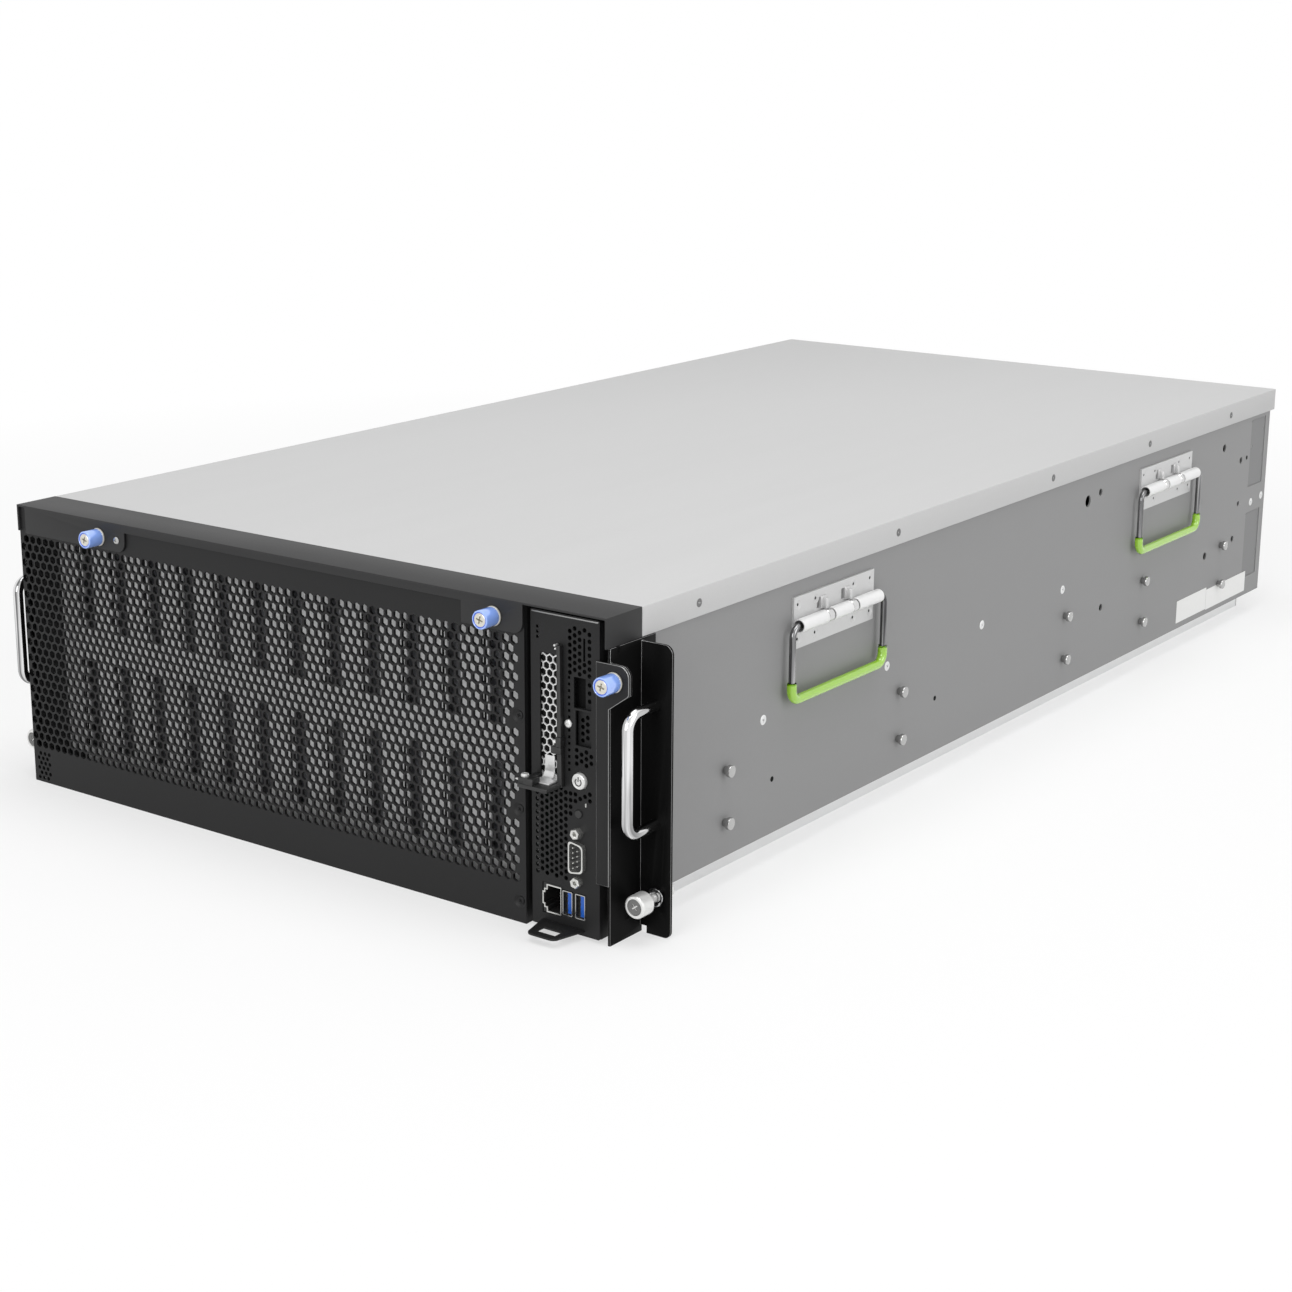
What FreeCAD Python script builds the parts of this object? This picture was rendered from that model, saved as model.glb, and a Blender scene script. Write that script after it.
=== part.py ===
import FreeCAD, Part
import math
import os
import Sketcher

# Storage server, 4U high, loaded from the top: a steel case with rack ears and folding carry handles,
# standing drives behind a perforated front, and a control module that pulls out at the right of the front.
# Millimetres. X to the right, Y to the back, Z up. Pieces are drawn with y = 0 at the front of the cap
# and then placed half the depth forward, so the origin is under the middle of the case.

SIZES = {
    # whole case
    "height": 175,
    "rack_width": 482.6,
    "depth": 864,
    "metal": 1.2,
    "slip": 0.3,
    # top cover and front cap
    "skirt": 16,
    "cap_depth": 30,
    "cap_flange": 5,
    "cap_tab": 17,
    "cap_tab_inward": 21.8,
    "cap_corner": 6,
    "rear_lip": 9,
    "rear_overhang": 5,
    # front panel
    "panel_inset": 7,
    "panel_end": 53.5,
    "mesh_pitch": 17.25,
    "mesh_web": 3.4,
    "mesh_bottom": 23,
    "mesh_margin": 5,
    # base, side walls and rear panel
    "rail_step": 17,
    "rail_ledge": 18,
    "wall_front": 8,
    "window_long": 27,
    "window_tall": 52,
    "window_deep": 0.6,
    "window_rear_gap": 8,
    "window_top_gap": 3,
    "lower_window_z": 31.5,
    "stud_radius": 3.5,
    "stud_neck_radius": 2.4,
    "stud_neck": 2.4,
    "stud_head": 2.6,
    "stud_low": 37,
    "stud_high": 67,
    "stud_left_shift": 1,
    # drives
    "cage_setback": 24,
    "cage_top_gap": 3,
    "bay_shift": 2.9,
    "bay_margin": 37.4,
    "bay_back_gap": 56.8,
    "drive_side_gap": 3,
    "drive_row_gap": 14.4,
    "drive_top_gap": 8.8,
    "drive_floor": 18,
    "board_thick": 1.6,
    "board_lift": 6,
    "post_radius": 3,
    "slot_wide": 9,
    "slot_top_gap": 18.8,
    "slot_low": 22,
    "slot_bar": 20,
    # rack ears, their handles and captive screws
    "ear_flange_wide": 19.3,
    "ear_setback": 3.3,
    "ear_depth": 31,
    "ear_corner": 8,
    "ear_notch": 4,
    "ear_tab": 17,
    "ear_tab_tall": 10,
    "pull_radius": 3.1,
    "pull_reach": 28,
    "pull_low": 61,
    "pull_gap": 11.5,
    "pull_bend": 8,
    "rack_hole_in": 8.75,
    "rack_screw_z": 22,
    "rack_screw_radius": 3,
    "rack_neck_radius": 2.3,
    "rack_neck_back": 1,
    "rack_screw_tip": 10,
    "rack_knob_radius": 6.3,
    "rack_knob_long": 9.5,
    "rack_knob_stand": 20,
    "ferrule_radius": 5.2,
    "ferrule_long": 2.5,
    # thumbscrews with a plastic sleeve
    "thumb_in": 72.5,
    "thumb_drop": 10,
    "thumb_radius": 5.1,
    "thumb_core_radius": 3.6,
    "thumb_shank": 2,
    "thumb_stand": 12,
    "thumb_neck": 0.6,
    "thumb_tip": 9,
    # carry handles on the sides
    "carry_plate_long": 86,
    "carry_plate_tall": 30,
    "carry_top_gap": 9,
    "carry_plate_thick": 1.5,
    "carry_axis_out": 5,
    "carry_axis_up": 14.5,
    "carry_barrel_radius": 3.9,
    "carry_wire_radius": 2.4,
    "carry_leg_out": 6.3,
    "carry_drop": 42,
    "carry_bend": 6.5,
    "carry_gap": 7,
    "carry_gap_out": 13,
    "carry_stop_wide": 5,
    "carry_stop_tall": 6,
    "carry_stop_out": 3.5,
    "carry_collar_radius": 3.2,
    "carry_collar_long": 4,
    "grip_radius": 3.3,
    "grip_leg": 10,
    # control module
    "module_gap": 3,
    "module_inset": 6.5,
    "module_bottom": 1.8,
    "module_top_gap": 3,
    "module_setback": 3,
    "module_long": 470,
    "module_board_gap": 3,
    "tab_reach": 17,
    "tab_base": 28,
    "tab_tip": 18,
    "tab_in": 23.5,
    "tab_z": 4,
    "tab_corner": 4,
    "tab_slot_wide": 12,
    "tab_slot_long": 6,
    "tab_slot_edge": 5,
    "strip_low": 33,
    "strip_overlap": 1.5,
    "lug_out": 3.4,
    "lug_drop": 16.2,
    "lug_half": 9,
    "lug_corner": 6,
    "lug_slope": 9,
    "card_in": 7.4,
    "card_wide": 11.2,
    "card_low": 82.7,
    "card_drop": 22,
    "card_lap": 1,
    "card_foot": 9,
    "retainer_reach": 12,
    "retainer_thick": 2,
    "retainer_over": 6,
    "retainer_wide": 3,
    "power_in": 12.3,
    "power_z": 86,
    "power_radius": 4.3,
    "power_proud": 1.8,
    "identify_in": 13.3,
    "identify_z": 68,
    "identify_radius": 2.2,
    "identify_proud": 0.8,
    "button_long": 9,
    "button_rim": 1,
    "port_proud": 0.4,
    "port_deep": 18,
    "port_wall": 1.2,
    "network_wide": 12.2,
    "network_tall": 16.4,
    "network_z": 17.4,
    "usb_wide": 6.4,
    "usb_tall": 13.6,
    "usb_in": 20.6,
    "usb_pitch": 8.3,
    "serial_in": 13.5,
    "serial_z": 44.5,
    "serial_wide": 9,
    "serial_tall": 17.5,
    "serial_reach": 5.5,
    "serial_flange_tall": 31,
    "vent_pitch": 9,
    "vent_web": 2.2,
    "sink_base": 5,
    "sink_reach": 26,
    "fin_thick": 2,
    "memory_reach": 28,
    "memory_lift": 1.2,
    "memory_thick": 4,
    "memory_step": 9,
    # power supplies and fans at the back
    "supply_side_gap": 15.2,
    "supply_link_gap": 12,
    "supply_wide": 73.5,
    "supply_tall": 40,
    "supply_long": 185,
    "supply_handle_radius": 2.4,
    "supply_handle_in": 10,
    "supply_handle_span": 26,
    "inlet_wide": 24,
    "inlet_tall": 17,
    "inlet_deep": 17,
    "fan_gap": 12,
    "fan_side_gap": 11.3,
    "fan_deep": 38,
    "fan_top_gap": 10.5,
    "fan_rim": 2,
    "fan_hub": 17,
    "fan_web": 4,
    "fan_clear": 1.5,
    "plug_wide": 40,
    "plug_tall": 12,
    "rear_vent_start": 20,
    "rear_vent_gap": 42,
    "rear_vent_wide": 6,
    "rear_vent_low": 14,
    "rear_vent_tall": 30,
}

DRIVE_COLUMNS = 12
DRIVE_ROWS = 5
FAN_COUNT = 4
REAR_VENTS = 14
FAN_BLADES = 7
SINK_FINS = 8
MEMORY_STICKS = 8
# Places along the depth, as shares of it.
STUD_PLACES = (0.126, 0.3415, 0.597, 0.7385, 0.8995)
CARRY_PLACES = {"front": 0.25, "rear": 0.772}

doc = FreeCAD.newDocument("storage_server")
sheet = doc.addObject("Spreadsheet::Sheet", "Sizes")
for row, (alias, value) in enumerate(SIZES.items(), 1):
    sheet.set(f"A{row}", str(value))
    sheet.setAlias(f"A{row}", alias)
doc.recompute()


class Size:
    """A length with the sheet formula that gives it, so features can be bound to what Python works out."""

    def __init__(self, value, formula):
        self.value = float(value)
        self.formula = formula

    def joined(self, sign, other, value):
        return Size(value, f"({self.formula} {sign} {sized(other).formula})")

    def __add__(self, other):
        return self.joined("+", other, self.value + sized(other).value)

    def __sub__(self, other):
        return self.joined("-", other, self.value - sized(other).value)

    def __mul__(self, other):
        return self.joined("*", other, self.value * sized(other).value)

    def __truediv__(self, other):
        return self.joined("/", other, self.value / sized(other).value)

    def __radd__(self, other):
        return sized(other) + self

    def __rsub__(self, other):
        return sized(other) - self

    def __rmul__(self, other):
        return sized(other) * self

    def __neg__(self):
        return Size(-self.value, f"(-{self.formula})")

    def __float__(self):
        return self.value


def sized(thing):
    if isinstance(thing, Size):
        return thing
    return Size(thing, f"({float(thing)})")


class SheetSizes:
    """The sheet's cells as Size attributes."""

    def __getattr__(self, alias):
        return Size(sheet.get(alias), f"Sizes.{alias}")


size = SheetSizes()
pieces = []


def bind(thing, formulas):
    for prop, length in formulas.items():
        thing.setExpression(prop, sized(length).formula)


def handed_in(piece, x=0, y=0, z=0):
    """List a finished piece and place it in the case's frame."""
    bind(piece, {"Placement.Base.x": x, "Placement.Base.y": y - size.depth / 2, "Placement.Base.z": z})
    pieces.append(piece)
    return piece


def mirrored(piece, name):
    """The same piece on the other side of the case."""
    twin = doc.addObject("Part::Mirroring", name)
    twin.Source = piece
    twin.Normal = (1, 0, 0)
    pieces.append(twin)
    return twin


def block(name, x, y, z):
    solid = doc.addObject("Part::Box", name)
    for length, base, (low, high) in (("Length", "x", x), ("Width", "y", y), ("Height", "z", z)):
        bind(solid, {length: sized(high) - low, f"Placement.Base.{base}": low})
    return solid


TURNS = {
    "x": FreeCAD.Rotation(FreeCAD.Vector(0, 1, 0), 90),
    "y": FreeCAD.Rotation(FreeCAD.Vector(1, 0, 0), -90),
    "z": FreeCAD.Rotation(),
}


def rod(name, axis, start, radius, length):
    """A round bar that runs along +axis from its start point."""
    solid = doc.addObject("Part::Cylinder", name)
    solid.Placement = FreeCAD.Placement(FreeCAD.Vector(), TURNS[axis])
    bind(solid, {"Radius": radius, "Height": length})
    bind(solid, {f"Placement.Base.{base}": place for base, place in zip("xyz", start)})
    return solid


def together(name, parts):
    """Separate solids kept as one piece."""
    compound = doc.addObject("Part::Compound", name)
    compound.Links = list(parts)
    return compound


def fused(name, *parts):
    joined = doc.addObject("Part::MultiFuse", name)
    joined.Shapes = list(parts)
    joined.Refine = True
    return joined


def cut(name, base, *tools):
    result = doc.addObject("Part::Cut", name)
    result.Base = base
    result.Tool = tools[0] if len(tools) == 1 else together(name + "_tools", tools)
    result.Refine = True
    return result


PLANES = {"XY": ("XY_Plane", 1), "XZ": ("XZ_Plane", -1), "YZ": ("YZ_Plane", 1)}


def sketch_in(body, plane, offset):
    """A sketch of the body, parallel to one of its base planes and offset along the third axis."""
    role, sign = PLANES[plane]
    sketch = body.newObject("Sketcher::SketchObject", body.Name + "_sketch")
    support = next(feature for feature in body.Origin.OriginFeatures if feature.Role == role)
    sketch.AttachmentSupport = [(support, "")]
    sketch.MapMode = "FlatFace"
    bind(sketch, {"AttachmentOffset.Base.z": sized(offset) * sign})
    return sketch


def hold(sketch, geometry, point, place):
    """Tie a point of the sketch to its distances from the sketch origin."""
    for kind, length in zip(("DistanceX", "DistanceY"), place):
        index = sketch.addConstraint(Sketcher.Constraint(kind, -1, 1, geometry, point, float(length)))
        bind(sketch, {f"Constraints[{index}]": length})


def flat(place):
    return FreeCAD.Vector(float(place[0]), float(place[1]), 0)


def eased(corner, toward):
    """Where the straight run towards the next corner starts, when this corner is rounded."""
    across = float(toward[0]) - float(corner[0])
    up = float(toward[1]) - float(corner[1])
    if abs(across) > abs(up):
        return (corner[0] + corner[2] * math.copysign(1, across), corner[1])
    return (corner[0], corner[1] + corner[2] * math.copysign(1, up))


def trace(sketch, corners, closed):
    """Straight runs from corner to corner. A corner with a third value is rounded to that radius."""
    corners = [tuple(sized(part) for part in corner) for corner in corners]
    arrive = []
    leave = []
    for index, corner in enumerate(corners):
        following = corners[(index + 1) % len(corners)]
        arrive.append(eased(corner, corners[index - 1]) if len(corner) == 3 else corner)
        leave.append(eased(corner, following) if len(corner) == 3 else corner)
    runs = []
    for index in range(len(corners) if closed else len(corners) - 1):
        start = leave[index]
        end = arrive[(index + 1) % len(corners)]
        line = sketch.addGeometry(Part.LineSegment(flat(start), flat(end)), False)
        hold(sketch, line, 1, start)
        hold(sketch, line, 2, end)
        runs.append(line)
    for index, corner in enumerate(corners):
        if len(corner) < 3:
            continue
        first = flat(arrive[index])
        last = flat(leave[index])
        centre = first + last - flat(corner)
        middle = centre + (flat(corner) - centre).normalize() * float(corner[2])
        arc = sketch.addGeometry(Part.Arc(first, middle, last), False)
        ends = (1, 2) if sketch.getPoint(arc, 1).distanceToPoint(first) < 1e-6 else (2, 1)
        sketch.addConstraint(Sketcher.Constraint("Coincident", arc, ends[0], runs[index - 1], 2))
        sketch.addConstraint(Sketcher.Constraint("Coincident", arc, ends[1], runs[index], 1))
        index = sketch.addConstraint(Sketcher.Constraint("Radius", arc, float(corner[2])))
        bind(sketch, {f"Constraints[{index}]": corner[2]})


def padded(name, plane, corners, low, high):
    """A prism: the outline lies in the plane and is pushed from low to high along the third axis."""
    body = doc.addObject("PartDesign::Body", name)
    sketch = sketch_in(body, plane, low)
    trace(sketch, corners, True)
    pad = body.newObject("PartDesign::Pad", name + "_pad")
    pad.Profile = sketch
    pad.Reversed = plane == "XZ"
    bind(pad, {"Length": sized(high) - low})
    return body


def turned(name, corners):
    """A round piece about the Y axis, from an outline of radius and y."""
    body = doc.addObject("PartDesign::Body", name)
    sketch = sketch_in(body, "XY", 0)
    trace(sketch, corners, True)
    lathe = body.newObject("PartDesign::Revolution", name + "_turn")
    lathe.Profile = sketch
    lathe.ReferenceAxis = (sketch, ["V_Axis"])
    lathe.Angle = 360
    return body


def bent_rod(name, x, corners, radius, bore=None):
    """Round wire, or tube, bent in a plane across X. Its first run lies along Y or along Z."""
    body = doc.addObject("PartDesign::Body", name)
    path = sketch_in(body, "YZ", x)
    trace(path, corners, False)
    first, second = corners[0], corners[1]
    along_y = abs(float(second[0]) - float(first[0])) > abs(float(second[1]) - float(first[1]))
    section = sketch_in(body, "XZ", first[0]) if along_y else sketch_in(body, "XY", first[1])
    place = (sized(x), sized(first[1])) if along_y else (sized(x), sized(first[0]))
    for ring in (radius, bore):
        if ring is None:
            continue
        circle = Part.Circle(flat(place), FreeCAD.Vector(0, 0, 1), float(ring))
        index = section.addGeometry(circle, False)
        hold(section, index, 3, place)
        index = section.addConstraint(Sketcher.Constraint("Radius", index, float(ring)))
        bind(section, {f"Constraints[{index}]": ring})
    pipe = body.newObject("PartDesign::AdditivePipe", name + "_pipe")
    pipe.Profile = section
    pipe.Spine = (path, [])
    pipe.Transition = "Transformed"
    return body


def polygon(places, y=0):
    """A closed outline across Y, from x and z pairs."""
    points = [FreeCAD.Vector(float(x), float(y), float(z)) for x, z in places]
    return Part.makePolygon(points + points[:1])


def about(centre, wide):
    return (centre - wide / 2, centre + wide / 2)


def rectangle(x, z):
    return polygon([(x[0], z[0]), (x[1], z[0]), (x[1], z[1]), (x[0], z[1])])


def ring(x, z, radius):
    middle = FreeCAD.Vector(float(x), 0, float(z))
    return Part.Wire(Part.makeCircle(float(radius), middle, FreeCAD.Vector(0, 1, 0)))


def hexagons(x, z, pitch, web):
    """Staggered rows of hexagonal holes, pointed at the top, that fill the field and are centred in it."""
    wide, tall = float(x[1]) - float(x[0]), float(z[1]) - float(z[0])
    pitch, web = float(pitch), float(web)
    radius = (pitch - web) / math.sqrt(3)
    step = pitch * math.sqrt(3) / 2
    columns = int((wide - (pitch - web) - pitch / 2) / pitch) + 1
    rows = int((tall - 2 * radius) / step) + 1
    left = float(x[0]) + (wide - (columns - 0.5) * pitch) / 2
    low = float(z[0]) + (tall - (rows - 1) * step) / 2
    holes = []
    for row in range(rows):
        for column in range(columns):
            centre_x = left + (column + row % 2 / 2) * pitch
            centre_z = low + row * step
            angles = [math.radians(30 + 60 * turn) for turn in range(6)]
            holes.append(polygon([(centre_x + radius * math.cos(angle), centre_z + radius * math.sin(angle))
                                  for angle in angles]))
    return holes


def pierced(outline, holes, y):
    """A sheet with holes: the outline and the holes lie across Y and are pushed from y[0] to y[1]."""
    start = FreeCAD.Vector(0, float(y[0]), 0)
    wires = [wire.translated(start) for wire in [outline] + holes]
    face = Part.makeFace(wires, "Part::FaceMakerBullseye")
    return face.extrude(FreeCAD.Vector(0, float(y[1]) - float(y[0]), 0))


def solid_block(x, y, z):
    return Part.makeBox(float(x[1]) - float(x[0]), float(y[1]) - float(y[0]), float(z[1]) - float(z[0]),
                        FreeCAD.Vector(float(x[0]), float(y[0]), float(z[0])))


def solid_rod(axis, start, radius, length):
    return Part.makeCylinder(float(radius), float(length), FreeCAD.Vector(*[float(part) for part in start]),
                             FreeCAD.Vector(*[1 if name == axis else 0 for name in "xyz"]))


def shaped(name, shape):
    feature = doc.addObject("Part::Feature", name)
    feature.Shape = shape
    return feature


# Planes that several pieces share. The cover's skirts go outside the walls, the walls outside the base.
metal = size.metal
slip = size.slip
ear_out = size.rack_width / 2
half = ear_out - size.ear_flange_wide
skirt_in = half - metal
wall_out = skirt_in - slip
wall_in = wall_out - metal
roof = size.height - metal
wall_top = roof - slip
skirt_low = size.height - size.skirt
rear_out = size.depth - size.rear_overhang
rear_in = rear_out - metal
keel = half - size.rail_ledge
ledge_top = size.rail_step + metal
panel_front = metal + slip
panel_back = panel_front + metal
panel_left = size.panel_inset - half
panel_right = half - size.panel_end
cage = size.cage_setback
cage_back = cage + metal
cage_top = roof - size.cage_top_gap
bay_right = panel_right - metal
supply_front = rear_out - size.supply_long
link_front = supply_front - size.supply_link_gap
row_pitch = (link_front - cage_back - size.bay_back_gap) / DRIVE_ROWS
bay_end = cage_back + row_pitch * DRIVE_ROWS
thumb_x = half - size.thumb_in
thumb_z = size.height - size.thumb_drop
thumb_hole = size.thumb_shank + slip

# Base pan: the floor steps up at both sides, which leaves the ledges that the rack rails go under.
base_pan = padded("base_pan", "XZ", [
    (-wall_in, size.rail_step), (-keel, size.rail_step), (-keel, 0), (keel, 0), (keel, size.rail_step),
    (wall_in, size.rail_step), (wall_in, ledge_top), (keel - metal, ledge_top), (keel - metal, metal),
    (metal - keel, metal), (metal - keel, ledge_top), (-wall_in, ledge_top)], cage, rear_in)
handed_in(base_pan)

# Side walls: holes for rails and cables, and two shallow pressed windows near the back.
WALL_HOLES = ((0.6285, 141, 4), (0.6505, 144, 2.5), (0.895, 142, 3), (0.934, 127.5, 2.5), (0.867, 63.6, 3),
              (0.926, 67.5, 2.5), (0.662, 61, 2.5), (0.934, 94, 2))
wall_tools = [rod(f"wall_hole_{index}", "x", (wall_in - 1, size.depth * place, z), radius, metal + 2)
              for index, (place, z, radius) in enumerate(WALL_HOLES)]
window_back = rear_out - size.window_rear_gap
upper_window_z = skirt_low - size.window_top_gap - size.window_tall
for window, low in (("upper", upper_window_z), ("lower", size.lower_window_z)):
    wall_tools.append(block(f"{window}_window", (wall_out - size.window_deep, wall_out + 1),
                            (window_back - size.window_long, window_back), (low, low + size.window_tall)))
wall_sheet = block("wall_sheet", (wall_in, wall_out), (size.wall_front, rear_out), (size.rail_step, wall_top))
side_wall_right = handed_in(cut("side_wall_right", wall_sheet, *wall_tools))
mirrored(side_wall_right, "side_wall_left")

# Rail studs: pairs of headed studs along both side walls, for the keyholes of the slide rails. The left
# row stands a little further back, so that no two studs share an axis.
studs = []
head_foot = wall_out + size.stud_neck
for side, sign, shift in (("right", 1, 0), ("left", -1, size.stud_left_shift)):
    neck_x = wall_out if sign > 0 else -head_foot
    head_x = head_foot if sign > 0 else -(head_foot + size.stud_head)
    for index, place in enumerate(STUD_PLACES):
        station = size.depth * place + shift
        for level, z in (("low", size.stud_low), ("high", size.stud_high)):
            name = f"stud_{side}_{level}_{index}"
            neck = rod(name + "_neck", "x", (neck_x, station, z), size.stud_neck_radius, size.stud_neck)
            head = rod(name + "_head", "x", (head_x, station, z), size.stud_radius, size.stud_head)
            studs.append(fused(name, neck, head))
handed_in(together("rail_studs", studs))

# Rear panel: four round fan openings with crossed bars, a window for the power supplies, vent slots.
supply_low = metal + slip
supply_high = supply_low + size.supply_tall
supply_step = size.supply_wide + slip * 2 + metal
supply_end = keel - size.supply_side_gap
supply_start = supply_end - supply_step - size.supply_wide
fan_pitch = (wall_in - size.fan_side_gap) * 2 / FAN_COUNT
fan_edge = (fan_pitch - size.fan_gap) / 2
fan_bore = fan_edge - size.fan_rim
fan_z = wall_top - size.fan_top_gap - fan_edge
fan_places = [(fan_pitch * (index - (FAN_COUNT - 1) / 2), fan_z) for index in range(FAN_COUNT)]
rear_outline = polygon([(-keel, 0), (keel, 0), (keel, size.rail_step), (wall_in, size.rail_step),
                        (wall_in, wall_top), (-wall_in, wall_top), (-wall_in, size.rail_step),
                        (-keel, size.rail_step)])
rear_holes = [ring(x, z, fan_bore - 1) for x, z in fan_places]
rear_holes.append(rectangle((supply_start - slip, supply_end + slip), (metal, supply_high + slip)))
vent_start = size.rear_vent_start - keel
vent_step = (supply_start - size.rear_vent_gap - vent_start) / (REAR_VENTS - 1)
vent_z = (size.rear_vent_low, size.rear_vent_low + size.rear_vent_tall)
for column in range(REAR_VENTS):
    slot_x = vent_start + vent_step * column
    rear_holes.append(rectangle((slot_x, slot_x + size.rear_vent_wide), vent_z))
rear_sheet = pierced(rear_outline, rear_holes, (rear_in, rear_out))
bars = []
for x, z in fan_places:
    arm = size.fan_web / 2
    bars.append(solid_block((x - fan_bore, x + fan_bore), (rear_in, rear_out), (z - arm, z + arm)))
    bars.append(solid_block((x - arm, x + arm), (rear_in, rear_out), (z - fan_bore, z + fan_bore)))
handed_in(shaped("rear_panel", rear_sheet.fuse(bars).removeSplitter()))

# Front panel: a field of hexagonal holes with plain bands, edges folded back to the drive cage.
field = hexagons((panel_left + size.mesh_margin, panel_right - size.mesh_margin),
                 (size.mesh_bottom, skirt_low), size.mesh_pitch, size.mesh_web)
screw_holes = [ring(x, thumb_z, thumb_hole) for x in (-thumb_x, thumb_x)]
front_sheet = pierced(rectangle((panel_left, panel_right), (0, wall_top)), field + screw_holes,
                      (panel_front, panel_back))
folds = [
    solid_block((panel_left, panel_left + metal), (panel_back, cage), (0, wall_top)),
    solid_block((bay_right, panel_right), (panel_back, cage), (0, wall_top)),
    solid_block((panel_left, panel_right), (panel_back, cage), (0, metal)),
]
handed_in(shaped("front_mesh_panel", front_sheet.fuse(folds).removeSplitter()))

# Drive cage: the front wall with two rows of tall slots, cross walls behind each row of drives,
# and the wall that parts the drives from the control module.
drive_pitch = (wall_in + bay_right - size.bay_margin) / DRIVE_COLUMNS
drive_thick = drive_pitch - size.drive_side_gap
drive_wide = row_pitch - size.drive_row_gap
bay_middle = (bay_right - wall_in) / 2 - size.bay_shift
columns_x = [bay_middle + drive_pitch * (index - (DRIVE_COLUMNS - 1) / 2) for index in range(DRIVE_COLUMNS)]
slot_tall = (cage_top - size.slot_top_gap - size.slot_low - size.slot_bar) / 2
slot_rows = (size.slot_low, size.slot_low + slot_tall + size.slot_bar)
slots = [rectangle((x - size.slot_wide / 2, x + size.slot_wide / 2), (low, low + slot_tall))
         for x in columns_x for low in slot_rows]
cage_outline = polygon([(-wall_in, ledge_top), (metal - keel, ledge_top), (metal - keel, metal),
                        (bay_right, metal), (bay_right, cage_top), (-wall_in, cage_top)])
handed_in(shaped("drive_cage_front", pierced(cage_outline, slots, (cage, cage_back))))

divider_slots = [rectangle((x - size.slot_wide / 2, x + size.slot_wide / 2), (slot_rows[0], slot_rows[1]))
                 for x in columns_x]
divider_outline = rectangle((-wall_in, bay_right), (ledge_top, cage_top))
dividers = [pierced(divider_outline, divider_slots, (cage + row_pitch * row, cage_back + row_pitch * row))
            for row in range(1, DRIVE_ROWS + 1)]
handed_in(shaped("drive_row_dividers", Part.makeCompound(dividers)))

handed_in(block("module_bay_wall", (bay_right, panel_right), (cage, bay_end), (metal, cage_top)),
          bay_right, cage, metal)

# Backplane on posts, with one socket under each drive.
board_low = metal + size.board_lift
board_top = board_low + size.board_thick
board_x = (metal * 3 - keel, bay_right - metal * 3)
board_y = (cage_back + metal * 2, bay_end - metal * 2)
drive_gap = (row_pitch - metal - drive_wide) / 2
rows_y = [cage_back + drive_gap + row_pitch * row for row in range(DRIVE_ROWS)]
backplane_parts = []
for x in columns_x:
    for y in rows_y:
        middle = y + drive_wide / 2
        backplane_parts.append(solid_block((x - 4, x + 4), (middle - 22, middle + 22),
                                           (board_top, size.drive_floor)))
for x in (board_x[0] + 8, (board_x[0] + board_x[1]) / 2, board_x[1] - 8):
    for y in (board_y[0] + 8, (board_y[0] + board_y[1]) / 2, board_y[1] - 8):
        backplane_parts.append(solid_rod("z", (x, y, metal), size.post_radius, size.board_lift))
backplane = solid_block(board_x, board_y, (board_low, board_top)).fuse(backplane_parts)
handed_in(shaped("backplane", backplane))

# Hard drives standing on their sockets.
drives = [solid_block((x - drive_thick / 2, x + drive_thick / 2), (y, y + drive_wide),
                      (size.drive_floor, roof - size.drive_top_gap))
          for x in columns_x for y in rows_y]
handed_in(shaped("hard_drives", Part.makeCompound(drives)))

# Rack ears: a plate on the side wall with the flange folded out, a tab at the back of its top.
# The right one carries the lug that takes the control module's thumbscrew.
ear_thick = half - wall_out
ear_top = skirt_low - slip
flange_front = size.ear_depth - ear_thick
rack_x = ear_out - size.rack_hole_in
lug_x = half + size.lug_out
ear_plate = padded("ear_plate", "YZ", [
    (size.ear_setback, 0), (size.ear_depth, 0), (size.ear_depth, ear_top - size.ear_tab_tall),
    (size.ear_depth + size.ear_tab, ear_top - size.ear_tab_tall), (size.ear_depth + size.ear_tab, ear_top),
    (size.ear_setback, ear_top)], wall_out, half)
ear_flange = padded("ear_flange", "XZ", [
    (wall_out, size.ear_notch), (half + size.ear_notch, size.ear_notch), (half + size.ear_notch, 0),
    (ear_out, 0, size.ear_corner / 2), (ear_out, ear_top - metal, size.ear_corner),
    (wall_out, ear_top - metal)],
    flange_front, size.ear_depth)
ear_blank = fused("ear_blank", ear_plate, ear_flange)
rack_hole = rod("rack_hole", "y", (rack_x, 0, size.rack_screw_z), size.rack_screw_radius + slip,
                size.ear_depth + 1)
ear_plain = cut("ear_plain", ear_blank, rack_hole)
bind(ear_plain, {"Placement.Base.y": size.depth / -2})
mirrored(ear_plain, "ear_left")
lug_z = ear_top - size.lug_drop
lug_edge = lug_x + size.lug_half
lug_low = lug_z - size.lug_half + size.lug_corner / 2
lug_corners = [(lug_edge, lug_low), (lug_edge, lug_z + size.lug_half, size.lug_corner)]
lug = padded("lug", "XZ", [(wall_out, lug_low - size.lug_slope)] + lug_corners
             + [(wall_out, lug_z + size.lug_half)], size.ear_setback, size.ear_setback + ear_thick)
lug_hole = rod("lug_hole", "y", (lug_x, 0, lug_z), thumb_hole, size.ear_setback + ear_thick + 1)
ear_with_lug = fused("ear_with_lug", ear_blank, lug)
handed_in(cut("ear_right", ear_with_lug, rack_hole, lug_hole))

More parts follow.
